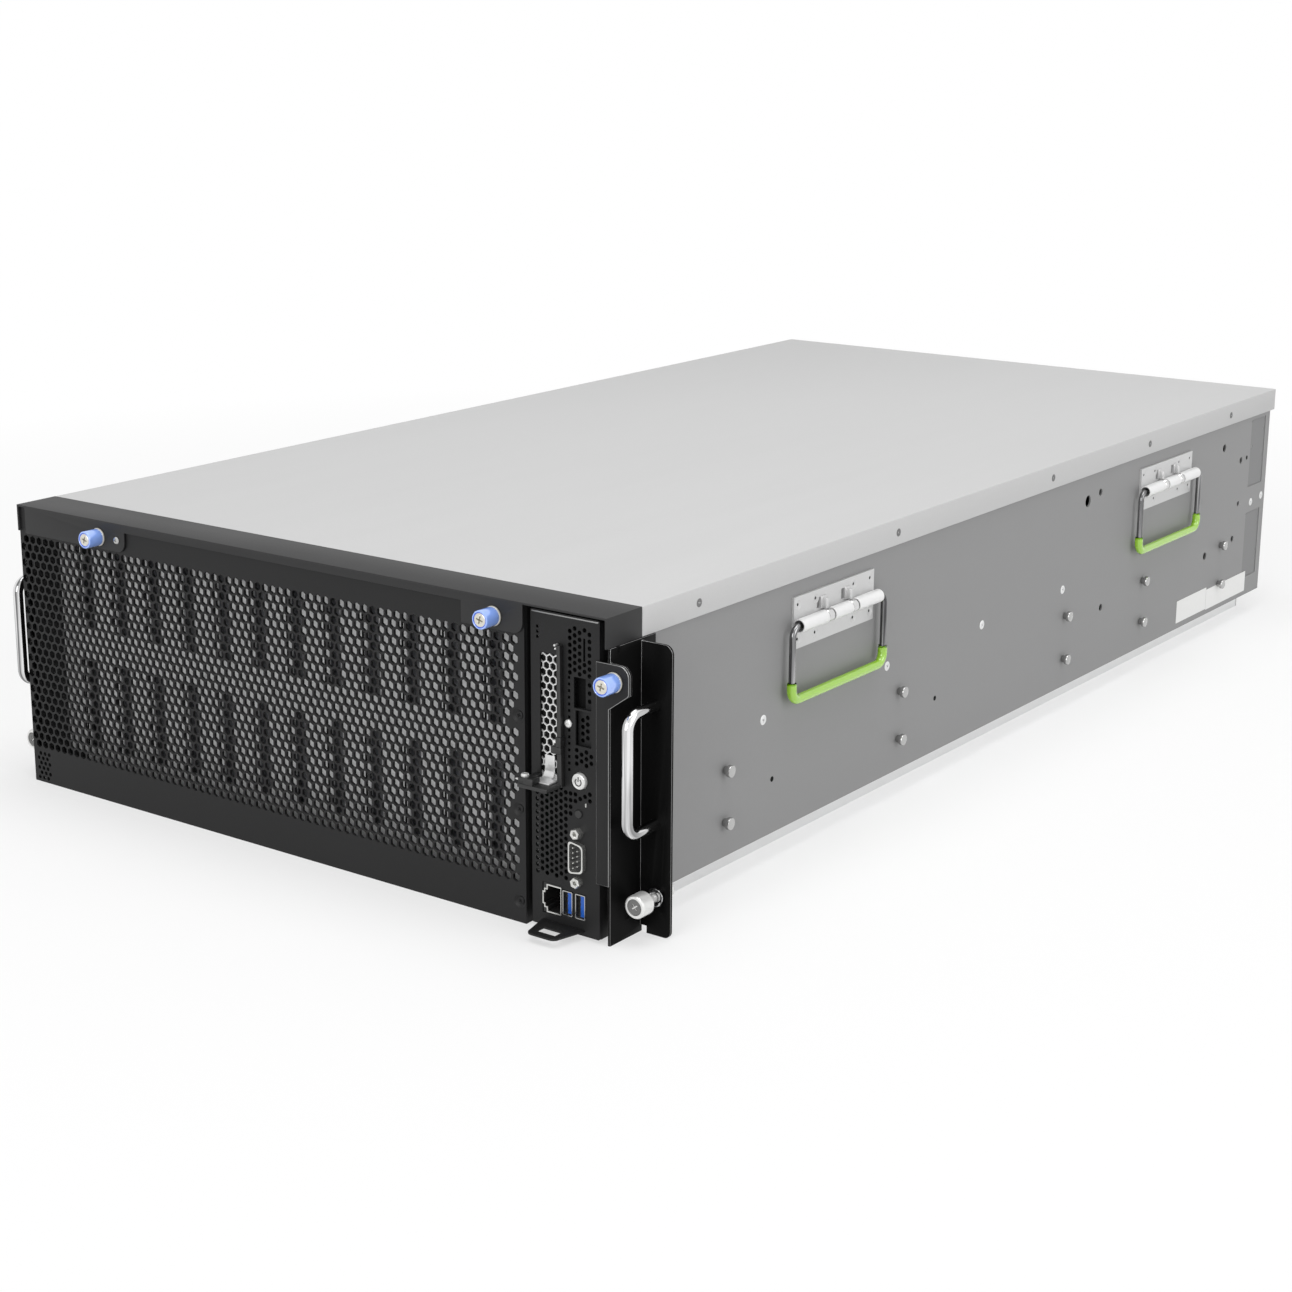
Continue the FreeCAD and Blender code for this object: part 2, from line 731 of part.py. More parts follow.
# Handles of the ears, and the captive screws: the ferrule runs on the thin neck, which the thread can't pass.
pull_x = (half + ear_out) / 2
pull_y = flange_front - size.pull_reach + size.pull_radius
pull_high = lug_low - size.pull_gap
ear_handle_right = handed_in(bent_rod("ear_handle_right", pull_x, [
    (flange_front, size.pull_low), (pull_y, size.pull_low, size.pull_bend),
    (pull_y, pull_high, size.pull_bend),
    (flange_front, pull_high)], size.pull_radius))
mirrored(ear_handle_right, "ear_handle_left")

ferrules = []
for side, x in (("right", rack_x), ("left", -rack_x)):
    collar = rod(f"ferrule_{side}_blank", "y", (x, flange_front - size.ferrule_long, size.rack_screw_z),
                 size.ferrule_radius, size.ferrule_long)
    bore = rod(f"ferrule_{side}_bore", "y", (x, 0, size.rack_screw_z), size.rack_neck_radius + slip,
               size.ear_depth)
    ferrules.append(cut(f"ferrule_{side}", collar, bore))
handed_in(together("ear_ferrules", ferrules))

knob_front = flange_front - size.rack_knob_stand
knob_back = knob_front + size.rack_knob_long
thread_front = size.ear_depth + size.rack_neck_back
for side, x in (("left", -rack_x), ("right", rack_x)):
    handed_in(turned(f"ear_screw_{side}", [
        (0, knob_front), (size.rack_knob_radius, knob_front), (size.rack_knob_radius, knob_back),
        (size.rack_neck_radius, knob_back), (size.rack_neck_radius, thread_front),
        (size.rack_screw_radius, thread_front), (size.rack_screw_radius, thread_front + size.rack_screw_tip),
        (0, thread_front + size.rack_screw_tip)]), x, 0, size.rack_screw_z)

# Carry handles: a plate with a rolled barrel, cut open in two places, and a wire bail that turns in it.
# A clip on the wire in each opening keeps the bail in, with a stop lanced out of the plate above it. The
# grip is a rubber sleeve over the lower part.
axis_x = wall_out + size.carry_axis_out
carry_plate_low = skirt_low - size.carry_top_gap - size.carry_plate_tall
carry_axis_z = carry_plate_low + size.carry_axis_up
grip_z = carry_axis_z - size.carry_drop
leg_reach = size.carry_plate_long / 2 + size.carry_leg_out
hinge_bend = size.carry_leg_out - slip
stub_end = size.carry_gap_out - size.carry_gap / 2 - 2
plate_out = wall_out + size.carry_plate_thick
carry_plates = []
for end, place in CARRY_PLACES.items():
    centre = size.depth * place
    near = centre - size.carry_plate_long / 2
    far = centre + size.carry_plate_long / 2
    plate = block(f"carry_{end}_sheet", (wall_out, plate_out), (near, far),
                  (carry_plate_low, carry_plate_low + size.carry_plate_tall))
    barrel = rod(f"carry_{end}_barrel", "y", (axis_x, near, carry_axis_z), size.carry_barrel_radius,
                 size.carry_plate_long)
    hollow = rod(f"carry_{end}_bore", "y", (axis_x, near - 1, carry_axis_z),
                 size.carry_wire_radius + slip, size.carry_plate_long + 2)
    gaps = []
    stops = []
    for spot, middle in (("near", centre - size.carry_gap_out), ("far", centre + size.carry_gap_out)):
        gaps.append(block(f"carry_{end}_{spot}_gap", (plate_out, axis_x + size.carry_barrel_radius + 1),
                          about(middle, size.carry_gap),
                          about(carry_axis_z, size.carry_barrel_radius * 2 + 2)))
        stop_low = carry_axis_z + size.carry_barrel_radius
        stops.append(block(f"carry_{end}_{spot}_stop", (wall_out, plate_out + size.carry_stop_out),
                           about(middle, size.carry_stop_wide), (stop_low, stop_low + size.carry_stop_tall)))
    open_barrel = cut(f"carry_{end}_open_barrel", barrel, hollow, *gaps)
    right_plate = fused(f"carry_plate_right_{end}", plate, open_barrel, *stops)
    left_plate = doc.addObject("Part::Mirroring", f"carry_plate_left_{end}")
    left_plate.Source = right_plate
    left_plate.Normal = (1, 0, 0)
    carry_plates += [right_plate, left_plate]

    wire = bent_rod(f"carry_wire_{end}", axis_x, [
        (centre - stub_end, carry_axis_z), (centre - leg_reach, carry_axis_z, hinge_bend),
        (centre - leg_reach, grip_z, size.carry_bend), (centre + leg_reach, grip_z, size.carry_bend),
        (centre + leg_reach, carry_axis_z, hinge_bend), (centre + stub_end, carry_axis_z)],
        size.carry_wire_radius)
    clips = []
    for spot, middle in (("near", centre - size.carry_gap_out), ("far", centre + size.carry_gap_out)):
        clip_start = middle - size.carry_collar_long / 2
        clips.append(rod(f"carry_{end}_{spot}_clip", "y", (axis_x, clip_start, carry_axis_z),
                         size.carry_collar_radius, size.carry_collar_long))
    bail = handed_in(fused(f"bail_right_{end}", wire, *clips))
    mirrored(bail, f"bail_left_{end}")
    grip = handed_in(bent_rod(f"grip_right_{end}", axis_x, [
        (centre - leg_reach, grip_z + size.grip_leg), (centre - leg_reach, grip_z, size.carry_bend),
        (centre + leg_reach, grip_z, size.carry_bend), (centre + leg_reach, grip_z + size.grip_leg)],
        size.grip_radius, size.carry_wire_radius))
    mirrored(grip, f"grip_left_{end}")
handed_in(together("carry_plates", carry_plates))

# Top cover: plate, two skirts and a rear lip. It starts behind the front cap.
cover_y = (size.cap_depth + slip, size.depth)
cover_parts = [
    block("cover_plate", (-half, half), cover_y, (roof, size.height)),
    block("cover_skirt_right", (skirt_in, half), cover_y, (skirt_low, size.height)),
    block("cover_skirt_left", (-half, -skirt_in), cover_y, (skirt_low, size.height)),
    block("cover_lip", (-half, half), (size.depth - metal, size.depth),
          (size.height - size.rear_lip, size.height)),
]
handed_in(fused("top_cover", *cover_parts))

# Front cap: plate, skirts, and a front flange with a deeper tab for each thumbscrew. The flange stops
# at the control module.
tab_low = size.height - size.cap_tab
flange_low = size.height - size.cap_flange
tab_inner = thumb_x - size.cap_tab_inward
cap_parts = [
    block("cap_plate", (-half, half), (0, size.cap_depth), (roof, size.height)),
    block("cap_skirt_right", (skirt_in, half), (0, size.cap_depth), (skirt_low, size.height)),
    block("cap_skirt_left", (-half, -skirt_in), (0, size.cap_depth), (skirt_low, size.height)),
    padded("cap_face", "XZ", [
        (panel_left, tab_low), (-tab_inner, tab_low, size.cap_corner), (-tab_inner, flange_low),
        (tab_inner, flange_low), (tab_inner, tab_low),
        (panel_right, tab_low, size.cap_corner), (panel_right, size.height),
        (panel_left, size.height)], 0, metal),
]
cap_holes = [rod(f"cap_hole_{side}", "y", (x, -1, thumb_z), thumb_hole, metal + 2)
             for side, x in (("left", -thumb_x), ("right", thumb_x))]
handed_in(cut("front_cap", fused("cap_blank", *cap_parts), *cap_holes))

# Thumbscrews: a steel core with its shank and a plastic sleeve pressed on the head.
strip_back = size.module_setback
strip_front = strip_back - metal
for screw, x, y, z in (("cap_screw_left", -thumb_x, 0, thumb_z), ("cap_screw_right", thumb_x, 0, thumb_z),
                       ("module_screw", lug_x, strip_front, lug_z)):
    handed_in(turned(f"{screw}_core", [
        (0, -size.thumb_stand), (size.thumb_core_radius, -size.thumb_stand),
        (size.thumb_core_radius, -size.thumb_neck), (size.thumb_shank, -size.thumb_neck),
        (size.thumb_shank, size.thumb_tip), (0, size.thumb_tip)]), x, y, z)
    handed_in(turned(f"{screw}_sleeve", [
        (size.thumb_core_radius, -size.thumb_stand), (size.thumb_radius, -size.thumb_stand),
        (size.thumb_radius, -size.thumb_neck), (size.thumb_core_radius, -size.thumb_neck)]), x, y, z)

# Control module: the tray, then the face plate with its openings and the strip that laps the ear.
plate_front = size.module_setback
plate_back = plate_front + metal
module_top = size.height - size.module_top_gap
module_left = panel_right + size.module_gap
module_right = half - size.module_inset
tray_left = module_left + metal
tray_right = keel - metal * 3
tray_top = module_top - metal * 2
tray_floor = size.module_bottom + metal
tray_parts = [
    block("tray_wall", (tray_left, tray_left + metal), (plate_back, size.module_long),
          (size.module_bottom, tray_top)),
    block("tray_floor", (tray_left, tray_right), (plate_back, size.module_long),
          (size.module_bottom, tray_floor)),
    block("tray_roof", (tray_left, module_right - metal), (plate_back, size.module_long),
          (tray_top - metal, tray_top)),
    block("tray_end", (tray_left, tray_right), (size.module_long - metal, size.module_long),
          (size.module_bottom, tray_top)),
]
handed_in(fused("module_tray", *tray_parts))

board_left = tray_left + metal + size.module_board_gap
board_face = board_left + size.board_thick
network_right = board_face + size.network_wide
card_x = (module_left + size.card_in, module_left + size.card_in + size.card_wide)
card_high = module_top - size.card_drop
power_x = module_right - size.power_in
identify_x = module_right - size.identify_in
serial_x = module_right - size.serial_in


def d_shape(grow):
    """Outline of the serial connector's shell, narrower at the right."""
    wide = size.serial_wide / 2 + grow
    tall = size.serial_tall / 2 + grow
    return polygon([(serial_x - wide, size.serial_z - tall), (serial_x + wide, size.serial_z - tall + 1.5),
                    (serial_x + wide, size.serial_z + tall - 1.5), (serial_x - wide, size.serial_z + tall)])


usb_places = (module_right - size.usb_in, module_right - size.usb_in + size.usb_pitch)
face_holes = [
    rectangle(card_x, (size.card_low, card_high)),
    rectangle((board_face - slip, network_right + slip), about(size.network_z, size.network_tall + slip * 2)),
    ring(power_x, size.power_z, size.power_radius + slip),
    ring(identify_x, size.identify_z, size.identify_radius + slip),
    d_shape(slip),
]
for x in usb_places:
    face_holes.append(rectangle(about(x, size.usb_wide + slip * 2),
                                about(size.network_z, size.usb_tall + slip * 2)))
vent_right = serial_x - size.serial_wide / 2 - 2
face_holes += hexagons((module_left + metal * 2, vent_right), (size.network_z + size.network_tall / 2 + 3,
                       size.card_low - size.retainer_thick - 2), size.vent_pitch, size.vent_web)
face = pierced(rectangle((module_left, module_right), (size.module_bottom, module_top)), face_holes,
               (plate_front, plate_back))
lip_y = (plate_back, plate_back + 8)
strip_left = module_right - size.strip_overlap
strip = padded("module_strip", "XZ", [
    (strip_left, size.strip_low), (half, size.strip_low), (half, lug_low - size.lug_slope)] + lug_corners
    + [(strip_left, lug_z + size.lug_half)], strip_front, strip_back)
strip_hole = rod("module_strip_hole", "y", (lug_x, 0, lug_z), thumb_hole, size.ear_depth)
face_folds = [
    solid_block((module_left, module_right), lip_y, (tray_top, module_top)),
    solid_block((module_left, tray_left), lip_y, (size.module_bottom, module_top)),
    solid_block((module_right - metal, module_right), lip_y, (size.strip_low, module_top)),
]
face_sheet = shaped("module_face_sheet", face.fuse(face_folds).removeSplitter())
handed_in(cut("module_faceplate", fused("module_face_blank", face_sheet, strip), strip_hole))

# Pull tab under the ports: a tapered tongue with a finger slot, welded to the face plate.
tab_x = module_right - size.tab_in
tab_wide, tab_narrow = size.tab_base / 2, size.tab_tip / 2
tab_points = [(tab_x - tab_wide, plate_front), (tab_x + tab_wide, plate_front),
              (tab_x + tab_narrow, -size.tab_reach), (tab_x - tab_narrow, -size.tab_reach)]
tab_outline = Part.makePolygon([FreeCAD.Vector(float(x), float(y), float(size.tab_z))
                                for x, y in tab_points + tab_points[:1]])
pull_tab = Part.Face(tab_outline).extrude(FreeCAD.Vector(0, 0, float(metal)))
tip_edges = [edge for edge in pull_tab.Edges
             if edge.BoundBox.YMax < 1 - float(size.tab_reach) and edge.BoundBox.ZLength > float(metal) / 2]
pull_tab = pull_tab.makeFillet(float(size.tab_corner), tip_edges)
slot_front = size.tab_slot_edge - size.tab_reach
tab_slot = solid_block(about(tab_x, size.tab_slot_wide), (slot_front, slot_front + size.tab_slot_long),
                       (size.tab_z - 1, size.tab_z + metal + 1))
handed_in(shaped("module_pull_tab", pull_tab.cut(tab_slot)))

# Mainboard on standoffs from the tray wall, with heat sinks and memory.
main_y = (plate_back + 2, size.module_long - 20)
main_z = (tray_floor + 4, tray_top - 8)
main_parts = [block("mainboard_sheet", (board_left, board_face), main_y, main_z)]
for index, y in enumerate((main_y[0] + 12, (main_y[0] + main_y[1]) / 2, main_y[1] - 12)):
    for level, z in (("low", main_z[0] + 8), ("high", main_z[1] - 8)):
        main_parts.append(rod(f"mainboard_post_{level}_{index}", "x", (tray_left + metal, y, z),
                              size.post_radius, size.module_board_gap))
handed_in(fused("mainboard", *main_parts))

board_long = main_y[1] - main_y[0]
board_tall = main_z[1] - main_z[0]
sink_z = (main_z[0] + board_tall * 0.24, main_z[0] + board_tall * 0.76)
sink_long = board_long * 0.2
fin_step = (sink_z[1] - sink_z[0] - size.fin_thick) / (SINK_FINS - 1)
sinks = []
for share in (0.32, 0.59):
    sink_y = (main_y[0] + board_long * share, main_y[0] + board_long * share + sink_long)
    comb = solid_block((board_face, board_face + size.sink_base), sink_y, sink_z)
    fins = [solid_block((board_face + size.sink_base, board_face + size.sink_reach), sink_y,
                        (sink_z[0] + fin_step * fin, sink_z[0] + fin_step * fin + size.fin_thick))
            for fin in range(SINK_FINS)]
    sinks.append(comb.fuse(fins).removeSplitter())
handed_in(shaped("heatsinks", Part.makeCompound(sinks)))

stick_z = (ledge_top + size.memory_lift, main_z[1] - board_tall * 0.08)
sticks = []
for stick in range(MEMORY_STICKS):
    stick_y = main_y[1] - size.memory_step * (stick + 1)
    sticks.append(solid_block((board_face, board_face + size.memory_reach),
                              (stick_y, stick_y + size.memory_thick), stick_z))
handed_in(shaped("memory_modules", Part.makeCompound(sticks)))

# Ports of the module, seated on the board or against the back of the face plate.
port_front = plate_front - size.port_proud
network_z = about(size.network_z, size.network_tall)
port_back = plate_front + size.port_deep
network_shell = block("network_shell", (board_face, network_right), (port_front, port_back), network_z)
network_mouth = block("network_mouth", (board_face + size.port_wall, network_right - size.port_wall),
                      (port_front - 1, port_back - 4), about(size.network_z, 11.8))
handed_in(cut("network_port", network_shell, network_mouth))

usb_shells = [solid_block((usb_places[0] - 3.6, usb_places[1] + 3.6), (plate_back, port_back),
                          about(size.network_z, size.usb_tall + 1))]
usb_mouths = []
usb_tongues = []
for x in usb_places:
    usb_shells.append(solid_block(about(x, size.usb_wide), (port_front, plate_back + 1),
                                  about(size.network_z, size.usb_tall)))
    usb_mouths.append(solid_block(about(x, size.usb_wide - 1.2), (port_front - 1, port_back - 4),
                                  about(size.network_z, size.usb_tall - 1.2)))
    usb_tongues.append(solid_block((x - 1.9, x + 0.1), (plate_front + 1, port_back - 4),
                                   about(size.network_z, size.usb_tall - 2.4)))
usb_body = usb_shells[0].fuse(usb_shells[1:]).cut(usb_mouths).fuse(usb_tongues)
handed_in(shaped("usb_ports", usb_body))

serial_front = plate_front - size.serial_reach
serial_shell = pierced(d_shape(0), [d_shape(-0.8)], (serial_front, plate_back))
serial_floor = pierced(d_shape(0), [], (plate_back - 2, plate_back))
serial_pins = [solid_block(about(serial_x + side, 1), (serial_front + 1, plate_back - 1),
                           about(size.serial_z + (pin - (count - 1) / 2) * 2.77, 1))
               for side, count in ((-1.6, 5), (1.2, 4)) for pin in range(count)]
serial_back = solid_block(about(serial_x, size.serial_wide + 2), (plate_back, plate_back + 9),
                          about(size.serial_z, size.serial_flange_tall))
serial_port = serial_shell.fuse([serial_floor, serial_back] + serial_pins)
handed_in(shaped("serial_port", serial_port.removeSplitter()))

# Push buttons: each has a rim behind the face plate that keeps it in.
for button, x, z, radius, proud in (
        ("power_button", power_x, size.power_z, size.power_radius, size.power_proud),
        ("identify_button", identify_x, size.identify_z, size.identify_radius, size.identify_proud)):
    rim = plate_back + slip
    handed_in(turned(button, [
        (0, plate_front - proud), (radius, plate_front - proud), (radius, rim),
        (radius + size.button_rim, rim),
        (radius + size.button_rim, rim + size.button_rim), (radius, rim + size.button_rim),
        (radius, plate_front + size.button_long), (0, plate_front + size.button_long)]), x, 0, z)

# Expansion card bracket in its window, its foot bent forward, and the retainer that holds the foot.
foot_low = size.card_low + slip
bracket_holes = hexagons((card_x[0], card_x[1]), (foot_low + 4, card_high), size.vent_pitch - 1,
                         size.vent_web)
bracket_outline = rectangle((card_x[0] - size.card_lap, card_x[1] + size.card_lap),
                            (foot_low, card_high + size.card_lap))
bracket = pierced(bracket_outline, bracket_holes, (plate_back, plate_back + 1))
bracket_foot = solid_block((card_x[0] + slip, card_x[1] - slip), (-size.card_foot, plate_back + 1),
                           (foot_low, foot_low + 1))
handed_in(shaped("card_bracket", bracket.fuse(bracket_foot).removeSplitter()))

retainer_parts = [
    block("retainer_shelf", (module_left + metal * 2, card_x[1] + size.retainer_wide),
          (-size.retainer_reach, plate_front), (foot_low - size.retainer_thick, foot_low)),
    block("retainer_arm", (card_x[1] + slip, card_x[1] + slip + size.retainer_wide),
          (plate_front - size.retainer_wide, plate_front),
          (foot_low - size.retainer_thick, card_high + size.retainer_over)),
]
handed_in(fused("card_retainer", *retainer_parts))

# Power supplies in their cage, each with an inlet and a pull handle, and the board they plug into.
cage_sides = [supply_start - slip - metal, supply_start + size.supply_wide + slip, supply_end + slip]
supply_cage_y = (supply_front + 5, rear_in)
supply_cage = [block(f"supply_cage_side_{index}", (x, x + metal), supply_cage_y, (metal, supply_high + slip))
               for index, x in enumerate(cage_sides)]
supply_cage.append(block("supply_cage_roof", (cage_sides[0], cage_sides[2] + metal), supply_cage_y,
                         (supply_high + slip, supply_high + slip + metal)))
handed_in(fused("supply_cage", *supply_cage))

handle_y = size.depth + size.tab_reach - size.supply_handle_radius
for index in range(2):
    left = supply_start + supply_step * index
    case = block(f"power_supply_case_{index + 1}", (left, left + size.supply_wide), (supply_front, rear_out),
                 (supply_low, supply_high))
    inlet_x = left + size.supply_wide - size.inlet_wide - 8
    inlet = block(f"power_supply_inlet_{index + 1}", (inlet_x, inlet_x + size.inlet_wide),
                  (rear_out - size.inlet_deep, rear_out + 1),
                  about((supply_low + supply_high) / 2, size.inlet_tall))
    handed_in(cut(f"power_supply_{index + 1}", case, inlet))
    low, high = about((supply_low + supply_high) / 2, size.supply_handle_span)
    handed_in(bent_rod(f"power_supply_handle_{index + 1}", left + size.supply_handle_in, [
        (rear_out, low), (handle_y, low, size.supply_handle_radius * 2),
        (handle_y, high, size.supply_handle_radius * 2), (rear_out, high)], size.supply_handle_radius))

link_y = (link_front, link_front + size.board_thick)
link_parts = [block("power_board_sheet", (cage_sides[0], supply_end), link_y, (metal, supply_high + 15))]
for index in range(2):
    middle = supply_start + supply_step * index + size.supply_wide / 2
    link_parts.append(block(f"power_board_plug_{index + 1}", about(middle, size.plug_wide),
                            (link_y[1], supply_front - slip),
                            about((supply_low + supply_high) / 2, size.plug_tall)))
handed_in(fused("power_board", *link_parts))

# Fans: a square frame with a round bore and a spider that carries the spindle, and the rotor on it.
fan_front = rear_in - size.fan_deep
spider_back = fan_front + 4
frames = []
for index, (x, z) in enumerate(fan_places):
    frame = solid_block((x - fan_edge, x + fan_edge), (fan_front, rear_in), (z - fan_edge, z + fan_edge))
    frame = frame.cut(solid_rod("y", (x, fan_front - 1, z), fan_bore, size.fan_deep + 2))
    spider = [
        solid_rod("y", (x, fan_front, z), size.fan_hub, 4),
        solid_rod("y", (x, fan_front, z), size.post_radius, size.fan_deep - 6),
        solid_block((x - fan_bore - 1, x + fan_bore + 1), (fan_front, spider_back), (z - 2, z + 2)),
        solid_block((x - 2, x + 2), (fan_front, spider_back), (z - fan_bore - 1, z + fan_bore + 1)),
    ]
    frames.append(frame.fuse(spider).removeSplitter())
    rotor_y = (spider_back + size.fan_clear, rear_in - size.fan_clear)
    hub = solid_rod("y", (x, rotor_y[0], z), size.fan_hub, rotor_y[1] - rotor_y[0])
    blades = []
    for turn in range(FAN_BLADES):
        blade = solid_block((-1, 1), (rotor_y[0] + 6, rotor_y[1] - 4),
                            (size.fan_hub - 2, fan_bore - size.fan_clear))
        blade.rotate(FreeCAD.Vector(0, float(rotor_y[0]) + 16, 0), FreeCAD.Vector(0, 0, 1), 35)
        blade.rotate(FreeCAD.Vector(), FreeCAD.Vector(0, 1, 0), 360 / FAN_BLADES * turn)
        blade.translate(FreeCAD.Vector(float(x), 0, float(z)))
        blades.append(blade)
    reach = solid_rod("y", (x, rotor_y[0], z), fan_bore - size.fan_clear, rotor_y[1] - rotor_y[0])
    spindle_bore = solid_rod("y", (x, rotor_y[0] - 1, z), size.post_radius + slip, size.fan_deep - 6)
    rotor = hub.fuse(blades).common(reach).cut(spindle_bore)
    handed_in(shaped(f"fan_rotor_{index + 1}", rotor))
handed_in(shaped("fan_frames", Part.makeCompound(frames)))

doc.recompute()
for thing in doc.Objects:
    if "Invalid" in thing.State or "Error" in thing.State:
        raise RuntimeError(f"{thing.Label} did not build: {thing.State}")
os.makedirs("parts", exist_ok=True)
for piece in pieces:
    if piece.Shape.isNull() or not piece.Shape.isValid():
        raise RuntimeError(f"{piece.Label} has no valid shape")
    piece.Shape.exportStep(f"parts/{piece.Label}.step")
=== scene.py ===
import bmesh
import bpy
import math
from mathutils import Matrix, Vector, geometry
from mathutils.bvhtree import BVHTree


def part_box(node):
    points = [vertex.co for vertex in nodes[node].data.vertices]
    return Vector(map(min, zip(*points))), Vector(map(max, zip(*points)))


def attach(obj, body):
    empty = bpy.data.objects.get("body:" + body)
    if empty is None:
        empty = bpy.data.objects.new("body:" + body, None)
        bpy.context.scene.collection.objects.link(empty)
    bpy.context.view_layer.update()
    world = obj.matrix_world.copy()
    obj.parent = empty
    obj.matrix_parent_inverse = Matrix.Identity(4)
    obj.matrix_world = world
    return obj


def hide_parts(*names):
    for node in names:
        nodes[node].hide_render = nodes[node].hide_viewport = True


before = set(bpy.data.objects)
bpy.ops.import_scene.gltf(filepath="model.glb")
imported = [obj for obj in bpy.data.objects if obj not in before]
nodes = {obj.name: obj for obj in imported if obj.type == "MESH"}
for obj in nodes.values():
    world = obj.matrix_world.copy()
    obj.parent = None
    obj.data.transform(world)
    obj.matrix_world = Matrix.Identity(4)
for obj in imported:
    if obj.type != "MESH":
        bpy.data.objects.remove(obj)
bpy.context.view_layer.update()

# Stage: a pale floor, large soft lamps above, at the right and in front, and the photograph's viewpoint.
# Lengths are metres, and y is counted from the front face of the cap, as in the part's source.
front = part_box("front_cap")[0].y
picture_pixels = 1292
focal_pixels = 2374.5
optical_axis_pixel = (599.5, 619.9)
azimuth = math.radians(37.02)
elevation = math.radians(14.98)
scene = bpy.context.scene
scene.view_settings.view_transform = "Standard"


def at(x, y, z):
    return Vector((x, front + y, z))


def add(tree, kind, inputs=None, **settings):
    """A node with its settings. An input is a value or another node's output."""
    node = tree.nodes.new(kind)
    for name, value in settings.items():
        setattr(node, name, value)
    for name, value in (inputs or {}).items():
        if isinstance(value, bpy.types.NodeSocket):
            tree.links.new(value, node.inputs[name])
        else:
            node.inputs[name].default_value = value
    return node


def sums(tree, operation, first, second):
    return add(tree, "ShaderNodeMath", {0: first, 1: second}, operation=operation).outputs[0]


def seen_rays(tree):
    """One for the rays that see the backdrop: straight from the camera, or by gloss or glass."""
    ray = add(tree, "ShaderNodeLightPath").outputs
    either = sums(tree, "MAXIMUM", ray["Is Camera Ray"], ray["Is Glossy Ray"])
    return sums(tree, "MAXIMUM", either, ray["Is Transmission Ray"])


def shown(name, data):
    piece = bpy.data.objects.new(name, data)
    scene.collection.objects.link(piece)
    return piece


forward = Vector((-math.sin(azimuth) * math.cos(elevation), math.cos(azimuth) * math.cos(elevation),
                  -math.sin(elevation)))
camera_place = at(0.90055, -0.90555, 0.47726)
camera = shown("camera", bpy.data.cameras.new("camera"))
camera.location = camera_place
camera.rotation_euler = forward.to_track_quat("-Z", "Y").to_euler()
camera.data.lens = camera.data.sensor_width * focal_pixels / picture_pixels
camera.data.shift_x = 0.5 - optical_axis_pixel[0] / picture_pixels
camera.data.shift_y = optical_axis_pixel[1] / picture_pixels - 0.5
scene.camera = camera

world = bpy.data.worlds.new("studio")
world.use_nodes = True
scene.world = world
sky = world.node_tree
sky.nodes.clear()
sky_light = add(sky, "ShaderNodeBackground", {"Color": (0.97, 0.97, 0.97, 1), "Strength": 0.36})
sky_seen = add(sky, "ShaderNodeBackground", {"Color": (1, 1, 1, 1), "Strength": 1})
sky_mix = add(sky, "ShaderNodeMixShader", {0: seen_rays(sky), 1: sky_light.outputs[0],
                                           2: sky_seen.outputs[0]})
add(sky, "ShaderNodeOutputWorld", {"Surface": sky_mix.outputs[0]})

for lamp, place, aim, width, power in (
        ("lamp_top", (0.3, -0.2, 4.0), (0, 0, 0.1), 3.0, 95),
        ("lamp_right", (4.0, 0.3, 1.7), (0.2, 0, 0.1), 2.6, 48),
        ("lamp_front", (0.5, -4.3, 1.5), (0, -0.4, 0.1), 2.4, 80)):
    light = bpy.data.lights.new(lamp, "AREA")
    light.size = width
    light.energy = power
    holder = shown(lamp, light)
    holder.location = place
    holder.rotation_euler = (Vector(aim) - Vector(place)).to_track_quat("-Z", "Y").to_euler()

floor_reach = 40
floor_corners = [(x * floor_reach, y * floor_reach, 0) for x, y in ((-1, -1), (1, -1), (1, 1), (-1, 1))]
floor_mesh = bpy.data.meshes.new("floor")
floor_mesh.from_pydata(floor_corners, [], [(0, 1, 2, 3)])
floor = shown("floor", floor_mesh)
floor_paint = bpy.data.materials.new("floor")
floor_paint.use_nodes = True
floor_tree = floor_paint.node_tree
floor_tree.nodes.clear()
floor_place = add(floor_tree, "ShaderNodeTexCoord").outputs["Object"]
floor_away = add(floor_tree, "ShaderNodeVectorMath", {0: floor_place}, operation="LENGTH").outputs["Value"]
floor_pale_share = add(floor_tree, "ShaderNodeMapRange", {
    "Value": floor_away, "From Min": 0.5, "From Max": 1.3, "To Min": 0.55, "To Max": 1})
floor_share = sums(floor_tree, "MULTIPLY", seen_rays(floor_tree), floor_pale_share.outputs[0])
floor_matt = add(floor_tree, "ShaderNodeBsdfDiffuse", {"Color": (0.9, 0.9, 0.9, 1)})
floor_pale = add(floor_tree, "ShaderNodeEmission", {"Color": (1, 1, 1, 1), "Strength": 1})
floor_mix = add(floor_tree, "ShaderNodeMixShader", {0: floor_share, 1: floor_matt.outputs[0],
                                                    2: floor_pale.outputs[0]})
add(floor_tree, "ShaderNodeOutputMaterial", {"Surface": floor_mix.outputs[0]})
floor_mesh.materials.append(floor_paint)

# Front panel: thin steel punched with staggered hexagons, powder coated black, edges folded back.
# It is screwed to the drive cage at its right margin, with the screws sunk in pressed dimples.


